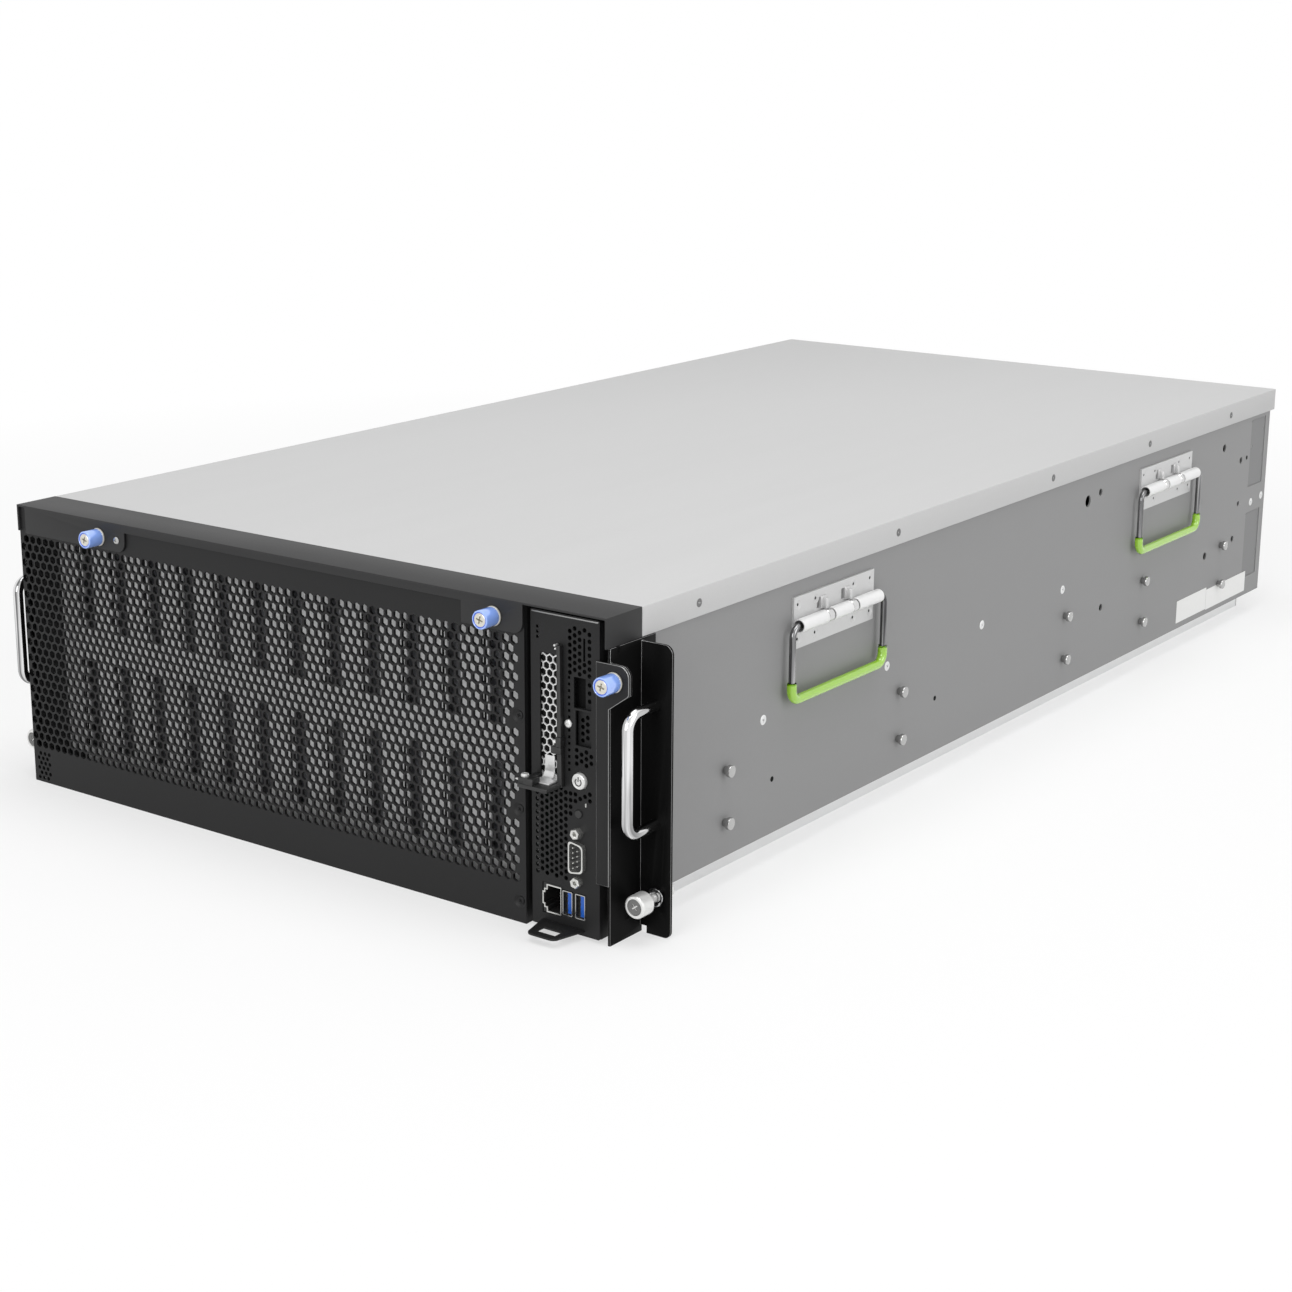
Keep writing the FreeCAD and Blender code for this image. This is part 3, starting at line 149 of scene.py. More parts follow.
def effect(name, inputs, outputs):
    """A shader node group with its sockets, and its input and output nodes."""
    group = bpy.data.node_groups.new(name, "ShaderNodeTree")
    for label, value in inputs.items():
        group.interface.new_socket(label, in_out="INPUT", socket_type="NodeSocketFloat").default_value = value
    for label in outputs:
        group.interface.new_socket(label, in_out="OUTPUT", socket_type="NodeSocketFloat")
    return group, group.nodes.new("NodeGroupInput").outputs, group.nodes.new("NodeGroupOutput").inputs


def noise(group, place, scale, detail):
    inputs = {"Vector": place, "Scale": scale, "Detail": detail}
    return add(group, "ShaderNodeTexNoise", inputs, noise_dimensions="3D").outputs[0]


def coat_grain():
    """Powder coat: fine orange peel, with faint cloudiness in the tone."""
    group, given, result = effect("coat grain", {"Grain": 1500}, ("Shade", "Height"))
    place = add(group, "ShaderNodeTexCoord").outputs["Object"]
    cloud = noise(group, place, 18, 3)
    peel = noise(group, place, given["Grain"], 2)
    shade = add(group, "ShaderNodeMix", {"Factor": 0.35, "A": cloud, "B": peel})
    group.links.new(shade.outputs[0], result["Shade"])
    group.links.new(peel, result["Height"])
    return group


def finish_of(name, group, dark, light, rough, bump, settings=None, **constants):
    """A material: the effect group shades between two colours and two roughnesses and raises fine bumps."""
    paint = bpy.data.materials.new(name)
    paint.use_nodes = True
    tree = paint.node_tree
    grain = add(tree, "ShaderNodeGroup", node_tree=group)
    for label, value in (settings or {}).items():
        grain.inputs[label].default_value = value
    shade = grain.outputs["Shade"]
    tone = add(tree, "ShaderNodeMix", {0: shade, 6: (*dark, 1), 7: (*light, 1)}, data_type="RGBA")
    gloss = add(tree, "ShaderNodeMapRange", {"Value": shade, "To Min": rough[0], "To Max": rough[1]})
    relief = add(tree, "ShaderNodeBump", {"Strength": bump[0], "Distance": bump[1],
                                          "Height": grain.outputs["Height"]})
    shader = tree.nodes["Principled BSDF"]
    tree.links.new(tone.outputs[2], shader.inputs["Base Color"])
    tree.links.new(gloss.outputs[0], shader.inputs["Roughness"])
    tree.links.new(relief.outputs[0], shader.inputs["Normal"])
    for label, value in constants.items():
        shader.inputs[label.replace("_", " ")].default_value = value
    return paint


def sockets_of(tree, inputs):
    """The tree's sockets: a geometry each way and the named inputs."""
    tree.interface.new_socket("Geometry", in_out="INPUT", socket_type="NodeSocketGeometry")
    for label, kind in inputs:
        tree.interface.new_socket(label, in_out="INPUT", socket_type="NodeSocket" + kind)
    tree.interface.new_socket("Geometry", in_out="OUTPUT", socket_type="NodeSocketGeometry")
    return tree.nodes.new("NodeGroupInput").outputs, tree.nodes.new("NodeGroupOutput").inputs["Geometry"]


def hole_field():
    """Adds rows of hole outlines to flat outlines, apart from those that would come too near a line."""
    tree = bpy.data.node_groups.new("hole field", "GeometryNodeTree")
    given, result = sockets_of(tree, (
        ("Left", "Float"), ("Low", "Float"), ("Columns", "Int"), ("Rows", "Int"), ("Pitch", "Float"),
        ("Step", "Float"), ("Stagger", "Float"), ("Radius", "Float"), ("Corners", "Int"), ("Turn", "Float"),
        ("Clearance", "Float")))
    index = add(tree, "GeometryNodeInputIndex").outputs[0]
    row = sums(tree, "FLOOR", sums(tree, "DIVIDE", index, given["Columns"]), 0)
    column = sums(tree, "MODULO", index, given["Columns"])
    shift = sums(tree, "MULTIPLY", sums(tree, "MODULO", row, 2), given["Stagger"])
    along = sums(tree, "MULTIPLY", sums(tree, "ADD", column, shift), given["Pitch"])
    x = sums(tree, "ADD", given["Left"], along)
    y = sums(tree, "ADD", given["Low"], sums(tree, "MULTIPLY", row, given["Step"]))
    spots = add(tree, "GeometryNodePoints", {
        "Count": sums(tree, "MULTIPLY", given["Columns"], given["Rows"]),
        "Position": add(tree, "ShaderNodeCombineXYZ", {"X": x, "Y": y}).outputs[0]})
    near = add(tree, "GeometryNodeProximity", {0: given["Geometry"]}, target_element="EDGES")
    crowded = add(tree, "FunctionNodeCompare", {0: near.outputs["Distance"], 1: given["Clearance"]},
                  data_type="FLOAT", operation="LESS_THAN")
    kept = add(tree, "GeometryNodeDeleteGeometry", {"Geometry": spots.outputs[0],
                                                    "Selection": crowded.outputs[0]}, domain="POINT")
    outline = add(tree, "GeometryNodeMeshCircle", {"Vertices": given["Corners"], "Radius": given["Radius"]},
                  fill_type="NONE")
    turn = add(tree, "ShaderNodeCombineXYZ", {"Z": given["Turn"]})
    holes = add(tree, "GeometryNodeInstanceOnPoints", {
        "Points": kept.outputs[0], "Instance": outline.outputs[0], "Rotation": turn.outputs[0]})
    real = add(tree, "GeometryNodeRealizeInstances", {0: holes.outputs[0]})
    joined = add(tree, "GeometryNodeJoinGeometry")
    tree.links.new(given["Geometry"], joined.inputs[0])
    tree.links.new(real.outputs[0], joined.inputs[0])
    tree.links.new(joined.outputs[0], result)
    return tree


def filled_sheet():
    """Fills flat outlines, with what lies inside another left open, and gives the sheet its thickness."""
    tree = bpy.data.node_groups.new("filled sheet", "GeometryNodeTree")
    given, result = sockets_of(tree, (("Thick", "Float"), ("Back", "Float"), ("Paint", "Material")))
    lines = add(tree, "GeometryNodeMeshToCurve", {"Mesh": given["Geometry"]})
    face = add(tree, "GeometryNodeFillCurve", {"Curve": lines.outputs[0]}, mode="TRIANGLES")
    pushed = add(tree, "GeometryNodeExtrudeMesh", {"Mesh": face.outputs[0], "Offset Scale": given["Thick"],
                                                   "Individual": False}, mode="FACES")
    back = add(tree, "GeometryNodeFlipFaces", {"Mesh": face.outputs[0]})
    both = add(tree, "GeometryNodeJoinGeometry")
    tree.links.new(pushed.outputs[0], both.inputs[0])
    tree.links.new(back.outputs[0], both.inputs[0])
    closed = add(tree, "GeometryNodeMergeByDistance", {"Geometry": both.outputs[0], "Distance": 1e-6})
    upright = add(tree, "GeometryNodeTransform", {"Geometry": closed.outputs[0],
                                                  "Rotation": (math.pi / 2, 0, 0)})
    away = add(tree, "ShaderNodeCombineXYZ", {"Y": given["Back"]})
    placed = add(tree, "GeometryNodeTransform", {"Geometry": upright.outputs[0],
                                                 "Translation": away.outputs[0]})
    real = add(tree, "GeometryNodeRealizeInstances", {0: placed.outputs[0]})
    painted = add(tree, "GeometryNodeSetMaterial", {"Geometry": real.outputs[0], "Material": given["Paint"]})
    tree.links.new(painted.outputs[0], result)
    return tree


def run_tree(piece, tree, values):
    """A Geometry Nodes modifier with its inputs set by name."""
    modifier = piece.modifiers.new(tree.name, "NODES")
    modifier.node_group = tree
    for socket in tree.interface.items_tree:
        if socket.in_out == "INPUT" and socket.name in values:
            modifier[socket.identifier] = values[socket.name]


def baked(piece, paint):
    """The evaluated mesh as plain mesh data in one paint. The working object is removed."""
    bpy.context.view_layer.update()
    mesh = bpy.data.meshes.new_from_object(piece.evaluated_get(bpy.context.evaluated_depsgraph_get()))
    mesh.name = piece.name
    mesh.materials.clear()
    mesh.materials.append(paint)
    mesh.polygons.foreach_set("material_index", [0] * len(mesh.polygons))
    bpy.data.objects.remove(piece)
    return mesh


def outlines(name, loops):
    """Closed outlines of x and z pairs as loose edges."""
    places = []
    edges = []
    for loop in loops:
        first = len(places)
        places += [(x, z, 0) for x, z in loop]
        edges += [(first + index, first + (index + 1) % len(loop)) for index in range(len(loop))]
    mesh = bpy.data.meshes.new(name)
    mesh.from_pydata(places, edges, [])
    return shown(name, mesh)


def oblong(low_x, high_x, low_z, high_z):
    return [(low_x, low_z), (high_x, low_z), (high_x, high_z), (low_x, high_z)]


def circle(x, z, radius, corners=20):
    turns = [2 * math.pi * step / corners for step in range(corners)]
    return [(x + radius * math.cos(turn), z + radius * math.sin(turn)) for turn in turns]


holes_tree = hole_field()
sheet_tree = filled_sheet()


def punched(name, loops, fields, thick, back, paint):
    """Sheet metal across Y: outlines, fields of holes, thickness and the y of its back."""
    work = outlines(name, loops)
    for field in fields:
        run_tree(work, holes_tree, field)
    run_tree(work, sheet_tree, {"Thick": thick, "Back": front + back, "Paint": paint})
    return baked(work, paint)


def with_boxes(mesh, boxes, round_edges=0.0003):
    """Adds folds and blocks to a mesh, each from its lowest to its highest corner, edges slightly rounded."""
    shape = bmesh.new()
    shape.from_mesh(mesh)
    for low, high in boxes:
        place = Matrix.LocRotScale((low + high) / 2, None, high - low)
        corners = bmesh.ops.create_cube(shape, size=1, matrix=place)["verts"]
        edges = {edge for corner in corners for edge in corner.link_edges}
        bmesh.ops.bevel(shape, geom=list(edges), offset=round_edges, segments=2, profile=0.5, affect="EDGES")
    shape.to_mesh(mesh)
    shape.free()
    return mesh


def fitted(name, mesh, paint, body, *replaced):
    """Shows a finished mesh in its paint, ties it to its body and lets it stand for CAD nodes."""
    if not mesh.materials:
        mesh.materials.append(paint)
    piece = shown(name, mesh)
    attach(piece, body)
    if replaced:
        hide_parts(*replaced)
    return piece


coat = coat_grain()
black_coat = finish_of("black coat", coat, (0.0066, 0.0066, 0.0068), (0.0136, 0.0136, 0.014), (0.42, 0.58),
                       (0.25, 0.0002), Specular_IOR_Level=0.25)
sheet_metal = 0.0012
panel_low, panel_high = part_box("front_mesh_panel")
panel_left = -0.2219
panel_thick = 0.0017
panel_front_y = panel_low.y - front
panel_back_y = panel_front_y + panel_thick
mesh_pitch = 0.005735
mesh_step = 0.00498
mesh_hole = 0.00256
panel_dimple = 0.0041
panel_screws = ((0.1643, 0.114), (0.1643, 0.063), (0.1643, 0.012))
panel_loops = [oblong(panel_left, panel_high.x, panel_low.z, panel_high.z)]
panel_loops += [circle(x, z, radius=panel_dimple, corners=24) for x, z in panel_screws]
panel_field = {"Left": -0.2166, "Low": 0.0247, "Columns": 67, "Rows": 27, "Pitch": mesh_pitch,
               "Step": mesh_step, "Stagger": -0.5, "Radius": mesh_hole, "Corners": 6, "Turn": math.pi / 6,
               "Clearance": 0.003}
edge_field = dict(panel_field, Left=-0.2166 - mesh_pitch / 2, Low=0.0247 + mesh_step, Columns=1, Rows=13,
                  Step=mesh_step * 2, Stagger=0.0, Clearance=0.0023)
small_field = {"Left": -0.2178, "Low": 0.0028, "Columns": 3, "Rows": 6, "Pitch": 0.0039, "Step": 0.00315,
               "Stagger": 0.5, "Radius": 0.00128, "Corners": 10, "Turn": 0.0, "Clearance": 0.002}
panel_mesh = punched("front_panel", panel_loops, (panel_field, edge_field, small_field), panel_thick,
                     panel_back_y, black_coat)
fold_back = panel_high.y - front
with_boxes(panel_mesh, [
    (at(panel_low.x, panel_back_y, 0), at(panel_low.x + sheet_metal, fold_back, panel_high.z)),
    (at(panel_high.x - sheet_metal, panel_back_y, 0), at(panel_high.x, fold_back, panel_high.z)),
    (at(panel_low.x, panel_back_y, 0), at(panel_high.x, fold_back, sheet_metal))])
front_panel = fitted("front_panel", panel_mesh, black_coat, "chassis", "front_mesh_panel")

# Panel screws: black countersunk screws, each at the bottom of a dimple pressed into the panel.
# They are coated steel with a cross recess, and hold the panel's right margin to the drive cage.


def smoothed(mesh, degrees=30):
    """Smooth shading, with edges sharper than the angle kept crisp."""
    mesh.shade_smooth()
    mesh.set_sharp_from_angle(angle=math.radians(degrees))
    return mesh


def lathe(profile, steps, ridged=(), ridge=0.0, closed=False):
    """Corners and faces of a profile of radius and height pairs turned round Z, from back to front.
    Ridged rows are cut in at every second step."""
    places = []
    rings = []
    for row, (radius, height) in enumerate(profile):
        count = steps if radius else 1
        rings.append([len(places) + step for step in range(count)])
        for step in range(count):
            turn = 2 * math.pi * step / steps
            reach = radius - ridge if row in ridged and step % 2 else radius
            places.append((reach * math.cos(turn), reach * math.sin(turn), height))
    if closed:
        rings.append(rings[0])
    faces = []
    for near, far in zip(rings, rings[1:]):
        for step in range(steps):
            after = (step + 1) % steps
            corners = dict.fromkeys((near[step % len(near)], near[after % len(near)],
                                     far[after % len(far)], far[step % len(far)]))
            if len(corners) > 2:
                faces.append(tuple(corners))
    return places, faces


def turned(name, profile, steps, ridged=(), ridge=0.0, closed=False):
    mesh = bpy.data.meshes.new(name)
    places, faces = lathe(profile, steps, ridged, ridge, closed)
    mesh.from_pydata(places, [], faces)
    return smoothed(mesh)


def cross_headed(name, profile, steps, reach, arm, deep, ridged=(), ridge=0.0):
    """A turned head whose flat front, at the profile's end, has a cross recess."""
    places, faces = lathe(profile, steps, ridged, ridge)
    rim = [Vector(place) for place in places[-steps:]]
    height = rim[0].z
    half = arm / 2
    plan = [(half, half), (half, reach), (-half, reach), (-half, half), (-reach, half), (-reach, -half),
            (-half, -half), (-half, -reach), (half, -reach), (half, -half), (reach, -half), (reach, half)]
    first = len(places)
    top = [Vector((x, y, height)) for x, y in plan]
    places += [tuple(place) for place in top]
    places += [(x * 0.75, y * 0.75, height - deep) for x, y in plan]
    corner_of = list(range(first - steps, first + len(plan)))
    faces += [tuple(corner_of[corner] for corner in face) for face in geometry.tessellate_polygon([rim, top])]
    for step in range(len(plan)):
        after = (step + 1) % len(plan)
        faces.append((first + step, first + after, first + len(plan) + after, first + len(plan) + step))
    faces.append(tuple(first + len(plan) + step for step in range(len(plan))))
    mesh = bpy.data.meshes.new(name)
    mesh.from_pydata(places, [], faces)
    shape = bmesh.new()
    shape.from_mesh(mesh)
    bmesh.ops.recalc_face_normals(shape, faces=shape.faces)
    shape.to_mesh(mesh)
    shape.free()
    return smoothed(mesh)


def repeated():
    """Copies a small shape to each point, faces it one way and spins it on its own axis by chance."""
    tree = bpy.data.node_groups.new("repeated", "GeometryNodeTree")
    given, result = sockets_of(tree, (("Shape", "Object"), ("Turn", "Vector"), ("Spin", "Float"),
                                      ("Seed", "Int"), ("Paint", "Material")))
    shape = add(tree, "GeometryNodeObjectInfo", {"Object": given["Shape"]})
    spots = add(tree, "GeometryNodeMeshToPoints", {"Mesh": given["Geometry"]})
    copies = add(tree, "GeometryNodeInstanceOnPoints", {
        "Points": spots.outputs[0], "Instance": shape.outputs["Geometry"], "Rotation": given["Turn"]})
    chance = add(tree, "FunctionNodeRandomValue", {3: given["Spin"], "Seed": given["Seed"]},
                 data_type="FLOAT")
    spin = add(tree, "ShaderNodeCombineXYZ", {"Z": chance.outputs[1]})
    spun = add(tree, "GeometryNodeRotateInstances", {
        "Instances": copies.outputs[0], "Rotation": spin.outputs[0], "Local Space": True})
    real = add(tree, "GeometryNodeRealizeInstances", {0: spun.outputs[0]})
    painted = add(tree, "GeometryNodeSetMaterial", {"Geometry": real.outputs[0], "Material": given["Paint"]})
    tree.links.new(painted.outputs[0], result)
    return tree


repeat_tree = repeated()
to_front = (math.pi / 2, 0.0, 0.0)
to_back = (-math.pi / 2, 0.0, 0.0)
to_right = (0.0, math.pi / 2, 0.0)
to_left = (0.0, -math.pi / 2, 0.0)


def copies_of(name, shape, places, turn, paint, spin=math.tau):
    """Like small parts at several places, as one mesh."""
    pattern = shown("pattern", shape)
    mesh = bpy.data.meshes.new(name)
    mesh.from_pydata([tuple(place) for place in places], [], [])
    work = shown(name, mesh)
    run_tree(work, repeat_tree, {"Shape": pattern, "Turn": turn, "Spin": spin, "Seed": 4, "Paint": paint})
    made = baked(work, paint)
    bpy.data.objects.remove(pattern)
    return made


def fitted_copies(name, shape, places, turn, paint, body, *replaced, spin=math.tau):
    """Like small parts at several places, fitted to a body as one piece."""
    return fitted(name, copies_of(name, shape, places, turn, paint, spin), paint, body, *replaced)


dimple_profile = [(0, -0.0014), (0.0042, -0.0014), (0.0042, -0.0001), (0.0039, 0.00005), (0.0036, -0.0001),
                  (0.0026, -0.0008), (0.0022, -0.0009), (0.0021, -0.0006), (0.0017, -0.0004)]
dimple = cross_headed("dimple", dimple_profile, 24, reach=0.0012, arm=0.0005, deep=0.0007)
panel_screw_places = [at(x, panel_front_y, z) for x, z in panel_screws]
panel_screw_set = fitted_copies("panel_screws", dimple, panel_screw_places, to_front, black_coat, "chassis")

# Drive cage: a bright zinc-coated wall with two rows of tall slots, one above and one below for each
# column of drives, with two small screws above each slot and a slit at its left, drawn as a thin black
# plate of painted shade. The cross walls behind it are plain sheet.


def sheet_grain():
    """Rolled zinc-coated sheet: faint streaks along the depth, fine tooth."""
    group, given, result = effect("sheet grain", {"Grain": 900, "Streak": 40}, ("Shade", "Height"))
    place = add(group, "ShaderNodeTexCoord").outputs["Object"]
    drawn = add(group, "ShaderNodeMapping", {"Vector": place, "Scale": (1, 0.1, 1)}).outputs[0]
    streak = noise(group, drawn, given["Streak"], 3)
    tooth = noise(group, place, given["Grain"], 2)
    shade = add(group, "ShaderNodeMix", {"Factor": 0.6, "A": streak, "B": tooth})
    group.links.new(shade.outputs[0], result["Shade"])
    group.links.new(tooth, result["Height"])
    return group


def dressed(paint, *names):
    """Gives CAD nodes a finish in their own material slots."""
    for name in names:
        holder = nodes[name]
        for index in range(len(holder.data.materials)):
            holder.data.materials[index] = paint


rolled = sheet_grain()
bright_zinc = finish_of("bright zinc", rolled, (0.74, 0.743, 0.746), (0.84, 0.843, 0.846), (0.35, 0.5),
                        (0.05, 0.0001), Metallic=0.25)
# A near-black for pieces that stand for the shade in holes, gaps and hollows: painted shade.
shade_black = finish_of("hole black", coat, (0.004, 0.004, 0.004), (0.008, 0.008, 0.008), (0.6, 0.8),
                       (0.02, 0.0001), Specular_IOR_Level=0.1)
galvanised = finish_of("galvanised", rolled, (0.255, 0.255, 0.256), (0.285, 0.285, 0.286), (0.42, 0.55),
                       (0.1, 0.0001), Specular_IOR_Level=0.3)
dressed(bright_zinc, "drive_cage_front")
dressed(galvanised, "drive_row_dividers", "module_bay_wall")
drive_columns = 12
drive_pitch = 0.0291
drive_middle = -0.0289
column_places = [drive_middle + drive_pitch * (column - (drive_columns - 1) / 2)
                 for column in range(drive_columns)]
small_head_profile = [(0, -0.0006), (0.0022, -0.0006), (0.0022, 0.0005), (0.0018, 0.001), (0.0012, 0.0012)]
small_head = cross_headed("small_head", small_head_profile, 16, reach=0.0009, arm=0.0004, deep=0.0006)
cage_front_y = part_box("drive_cage_front")[0].y - front
cage_screw_out = 0.0095
cage_screw_levels = (0.0855, 0.1585)
cage_screw_places = [at(x + side * cage_screw_out, cage_front_y, z) for x in column_places
                     for z in cage_screw_levels for side in (-1, 1)]
cage_screws = fitted_copies("cage_screws", small_head, cage_screw_places, to_front, bright_zinc, "chassis")
slit_left = 0.0076
slit_levels = (0.0495, 0.1245)
slit_shade_box = (Vector((-0.0008, -0.0275, -0.0003)), Vector((0.0008, 0.0275, 0.00008)))
# Each slit is a thin black plate on the wall: painted shade where the gap is.
slit = with_boxes(bpy.data.meshes.new("slit"), [slit_shade_box], round_edges=0.00005)
slit_shade_places = [at(x - slit_left, cage_front_y, z) for x in column_places for z in slit_levels]
cage_slits = fitted_copies("cage_slits", slit, slit_shade_places, to_front, shade_black, "chassis", spin=0.0)

# Base pan and side walls: bent zinc-coated sheet, riveted together under the skirts of the cover. The pan is
# painted far paler than the walls, painted light over its shade. The walls carry countersunk screws into the
# cross walls, black discs of painted shade in spare holes and two shallow pressed windows at the back,
# painted a darker zinc as shade. Two small black plates of painted shade sit in the pan's corners behind the
# front panel.
dressed(galvanised, "side_wall_left", "side_wall_right")
# The pan's zinc is painted much paler than the walls': painted light that lifts it out of its shade.
pan_zinc_painted_light = finish_of("pan zinc", rolled, (0.86, 0.863, 0.866), (0.93, 0.933, 0.936), (0.4, 0.55),
                     (0.05, 0.0001))
dressed(pan_zinc_painted_light, "base_pan")
# Two black plates in the pan's corners behind the front panel: painted shade where bright sheet would show.
corner_shade_top = 0.0169
corner_shade_boxes = [(at(left, fold_back - sheet_metal, 0), at(right, fold_back, corner_shade_top))
                for left, right in ((-0.2192, -0.2), (0.2159, 0.2192))]
corner_shade_mesh = with_boxes(bpy.data.meshes.new("pan_closers"), corner_shade_boxes)
corner_shade_plates = fitted("pan_closers", smoothed(corner_shade_mesh), black_coat, "chassis")
wall_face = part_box("side_wall_right")[1].x
wall_screw_spots = ((0.146, 0.086), (0.280, 0.086), (0.398, 0.086), (0.511, 0.086), (0.832, 0.091),
                    (0.852, 0.093))
flush_profile = [(0, -0.0008), (0.0029, -0.0008), (0.0029, 0.0001), (0.0026, 0.0003), (0.0019, 0.0004)]
flush_head = cross_headed("flush_head", flush_profile, 20, reach=0.0014, arm=0.0006, deep=0.0008)
sides = (("right", 1, to_right), ("left", -1, to_left))
for side, sign, facing in sides:
    spots = [at(sign * wall_face, y, z) for y, z in wall_screw_spots]
    screws = fitted_copies(f"wall_screws_{side}", flush_head, spots, facing, bright_zinc, "chassis")


def side_sheet(name, sign, outer_x, loops, thick, paint):
    """Sheet on a side of the object. Outlines are pairs of distance from the front and height."""
    drawn = [[(sign * (front + y), z) for y, z in loop] for loop in loops]
    mesh = punched(name, drawn, (), thick, thick - outer_x - front, paint)
    mesh.transform(Matrix.Rotation(sign * math.pi / 2, 4, "Z"))
    return mesh


def eased(corners, radius, steps=4):
    """An outline with its corners eased."""
    outline = []
    for index, corner in enumerate(corners):
        here = Vector(corner)
        before = (Vector(corners[index - 1]) - here).normalized() * radius
        after = (Vector(corners[(index + 1) % len(corners)]) - here).normalized() * radius
        for step in range(steps + 1):
            share = step / steps
            outline.append(tuple(here + before * (1 - share) ** 2 + after * share ** 2))
    return outline


def rounded(low_x, high_x, low_z, high_z, radius):
    return eased(oblong(low_x, high_x, low_z, high_z), radius)


# The pressed windows are a darker copy of the walls' zinc: painted shade in their shallow recess.
window_shade_grey = finish_of("window grey", rolled, (0.2, 0.201, 0.203), (0.228, 0.229, 0.231), (0.42, 0.55),
                        (0.1, 0.0001), Specular_IOR_Level=0.3)
# Black discs on the wall stand for the dark inside of spare holes: painted shade.
hole_shade_profile = [(0, -0.0006), (0.0016, -0.0006), (0.0016, 0.00006), (0.0014, 0.0001), (0, 0.00008)]
plug = turned("plug", hole_shade_profile, steps=16)
hole_shade_spots = ((0.156, 0.049), (0.34, 0.0516), (0.818, 0.128))
window_depth = 0.0004
window_sheet = 0.0002
window_loops = [rounded(0.8244, 0.8506, 0.0319, 0.0831, radius=0.004),
                rounded(0.8244, 0.8506, 0.1044, 0.1556, radius=0.004)]
window_vents = (0.045, 0.050, 0.072, 0.077, 0.121, 0.126, 0.146)
window_loops += [circle(0.848, z, radius=0.0009, corners=10) for z in window_vents]
window_loops += [circle(0.8272, 0.135, radius=0.0016, corners=12)]
for side, sign, facing in sides:
    name = f"window_plates_{side}"
    sheet = side_sheet(name, sign, wall_face - window_depth, window_loops, window_sheet, window_shade_grey)
    plate = fitted(name, sheet, window_shade_grey, "chassis")
    spots = [at(sign * wall_face, y, z) for y, z in hole_shade_spots]
    hole_shade_discs = fitted_copies(f"wall_plugs_{side}", plug, spots, facing, shade_black, "chassis")

# Stickers: two blank stickers side by side at the lower rear of the right wall.
# They are plain white paper, stuck on flat.
paper = finish_of("paper", rolled, (0.78, 0.78, 0.77), (0.86, 0.86, 0.85), (0.5, 0.65), (0.05, 0.0001))
paper_thick = 0.00015
sticker_loops = [rounded(0.703, 0.7562, 0.0212, 0.038, radius=0.0006),
                 rounded(0.7565, 0.8312, 0.0205, 0.0362, radius=0.0006)]
sticker_sheet = side_sheet("blank_stickers", 1, wall_face + paper_thick, sticker_loops, paper_thick, paper)
fitted("blank_stickers", sticker_sheet, paper, "chassis")

# Rail studs: turned steel studs with a neck and a head, pressed into the side walls in pairs.
# They are nickel plated, and the keyholes of the slide rails hook over them.


def smooth_wear():
    """Moulded, plated or polished surfaces: soft uneven gloss and a trace of waviness."""
    group, given, result = effect("smooth wear", {"Scale": 60}, ("Shade", "Height"))
    place = add(group, "ShaderNodeTexCoord").outputs["Object"]
    group.links.new(noise(group, place, given["Scale"], 4), result["Shade"])
    group.links.new(noise(group, place, 400, 1), result["Height"])
    return group


def edge_rounded(source, name, width, degrees=30, paints=()):
    """A shape with doubled corners merged and a narrow round along its sharp edges. With two paints, the
    second is painted on the rounds as a painted highlight."""
    shape = bmesh.new()
    shape.from_mesh(source)
    bmesh.ops.remove_doubles(shape, verts=shape.verts, dist=1e-6)
    bmesh.ops.dissolve_limit(shape, angle_limit=math.radians(1), verts=shape.verts, edges=shape.edges)
    for face in shape.faces:
        face.material_index = 0
    sharp = [edge for edge in shape.edges
             if edge.is_manifold and edge.calc_face_angle() > math.radians(degrees)]
    rounds = bmesh.ops.bevel(shape, geom=sharp, offset=width, segments=2, profile=0.5, affect="EDGES",
                             clamp_overlap=True)["faces"]
    for face in rounds:
        face.material_index = len(paints) // 2
    mesh = bpy.data.meshes.new(name)
    for paint in paints:
        mesh.materials.append(paint)
    shape.to_mesh(mesh)
    shape.free()
    return smoothed(mesh, degrees)


def softened(name, width, degrees=30, paints=()):
    return edge_rounded(nodes[name].data, name, width, degrees, paints)


worn = smooth_wear()
nickel = finish_of("nickel", worn, (0.42, 0.42, 0.42), (0.55, 0.55, 0.54), (0.14, 0.26), (0.03, 0.0001),
                   Metallic=1.0)
studs = fitted("studs", softened("rail_studs", width=0.0007), nickel, "chassis", "rail_studs")

# Top cover: one light grey sheet folded down at the sides and the back.
# It lies over the walls and is held by small sunk screws in its skirts.
cover_grey = finish_of("cover grey", rolled, (0.522, 0.522, 0.522), (0.586, 0.586, 0.586), (0.4, 0.5),
                       (0.06, 0.0001), {"Grain": 1300}, Specular_IOR_Level=0.15)
cover = fitted("cover", softened("top_cover", width=0.0007), cover_grey, "top_cover", "top_cover")
cover_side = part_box("top_cover")[1].x
screw_steel = finish_of("screw steel", worn, (0.14, 0.14, 0.14), (0.22, 0.22, 0.22), (0.25, 0.4),
                        (0.03, 0.0001), Metallic=0.8)
sunk_profile = [(0, -0.0006), (0.0024, -0.0006), (0.0024, 0.0001), (0.0021, 0.0002), (0.0014, 0.0002)]
sunk_head = cross_headed("sunk_head", sunk_profile, 16, reach=0.0012, arm=0.0005, deep=0.0007)
skirt_screw_z = 0.1665
skirt_screw_spots = (0.0805, 0.286, 0.486, 0.635, 0.778)
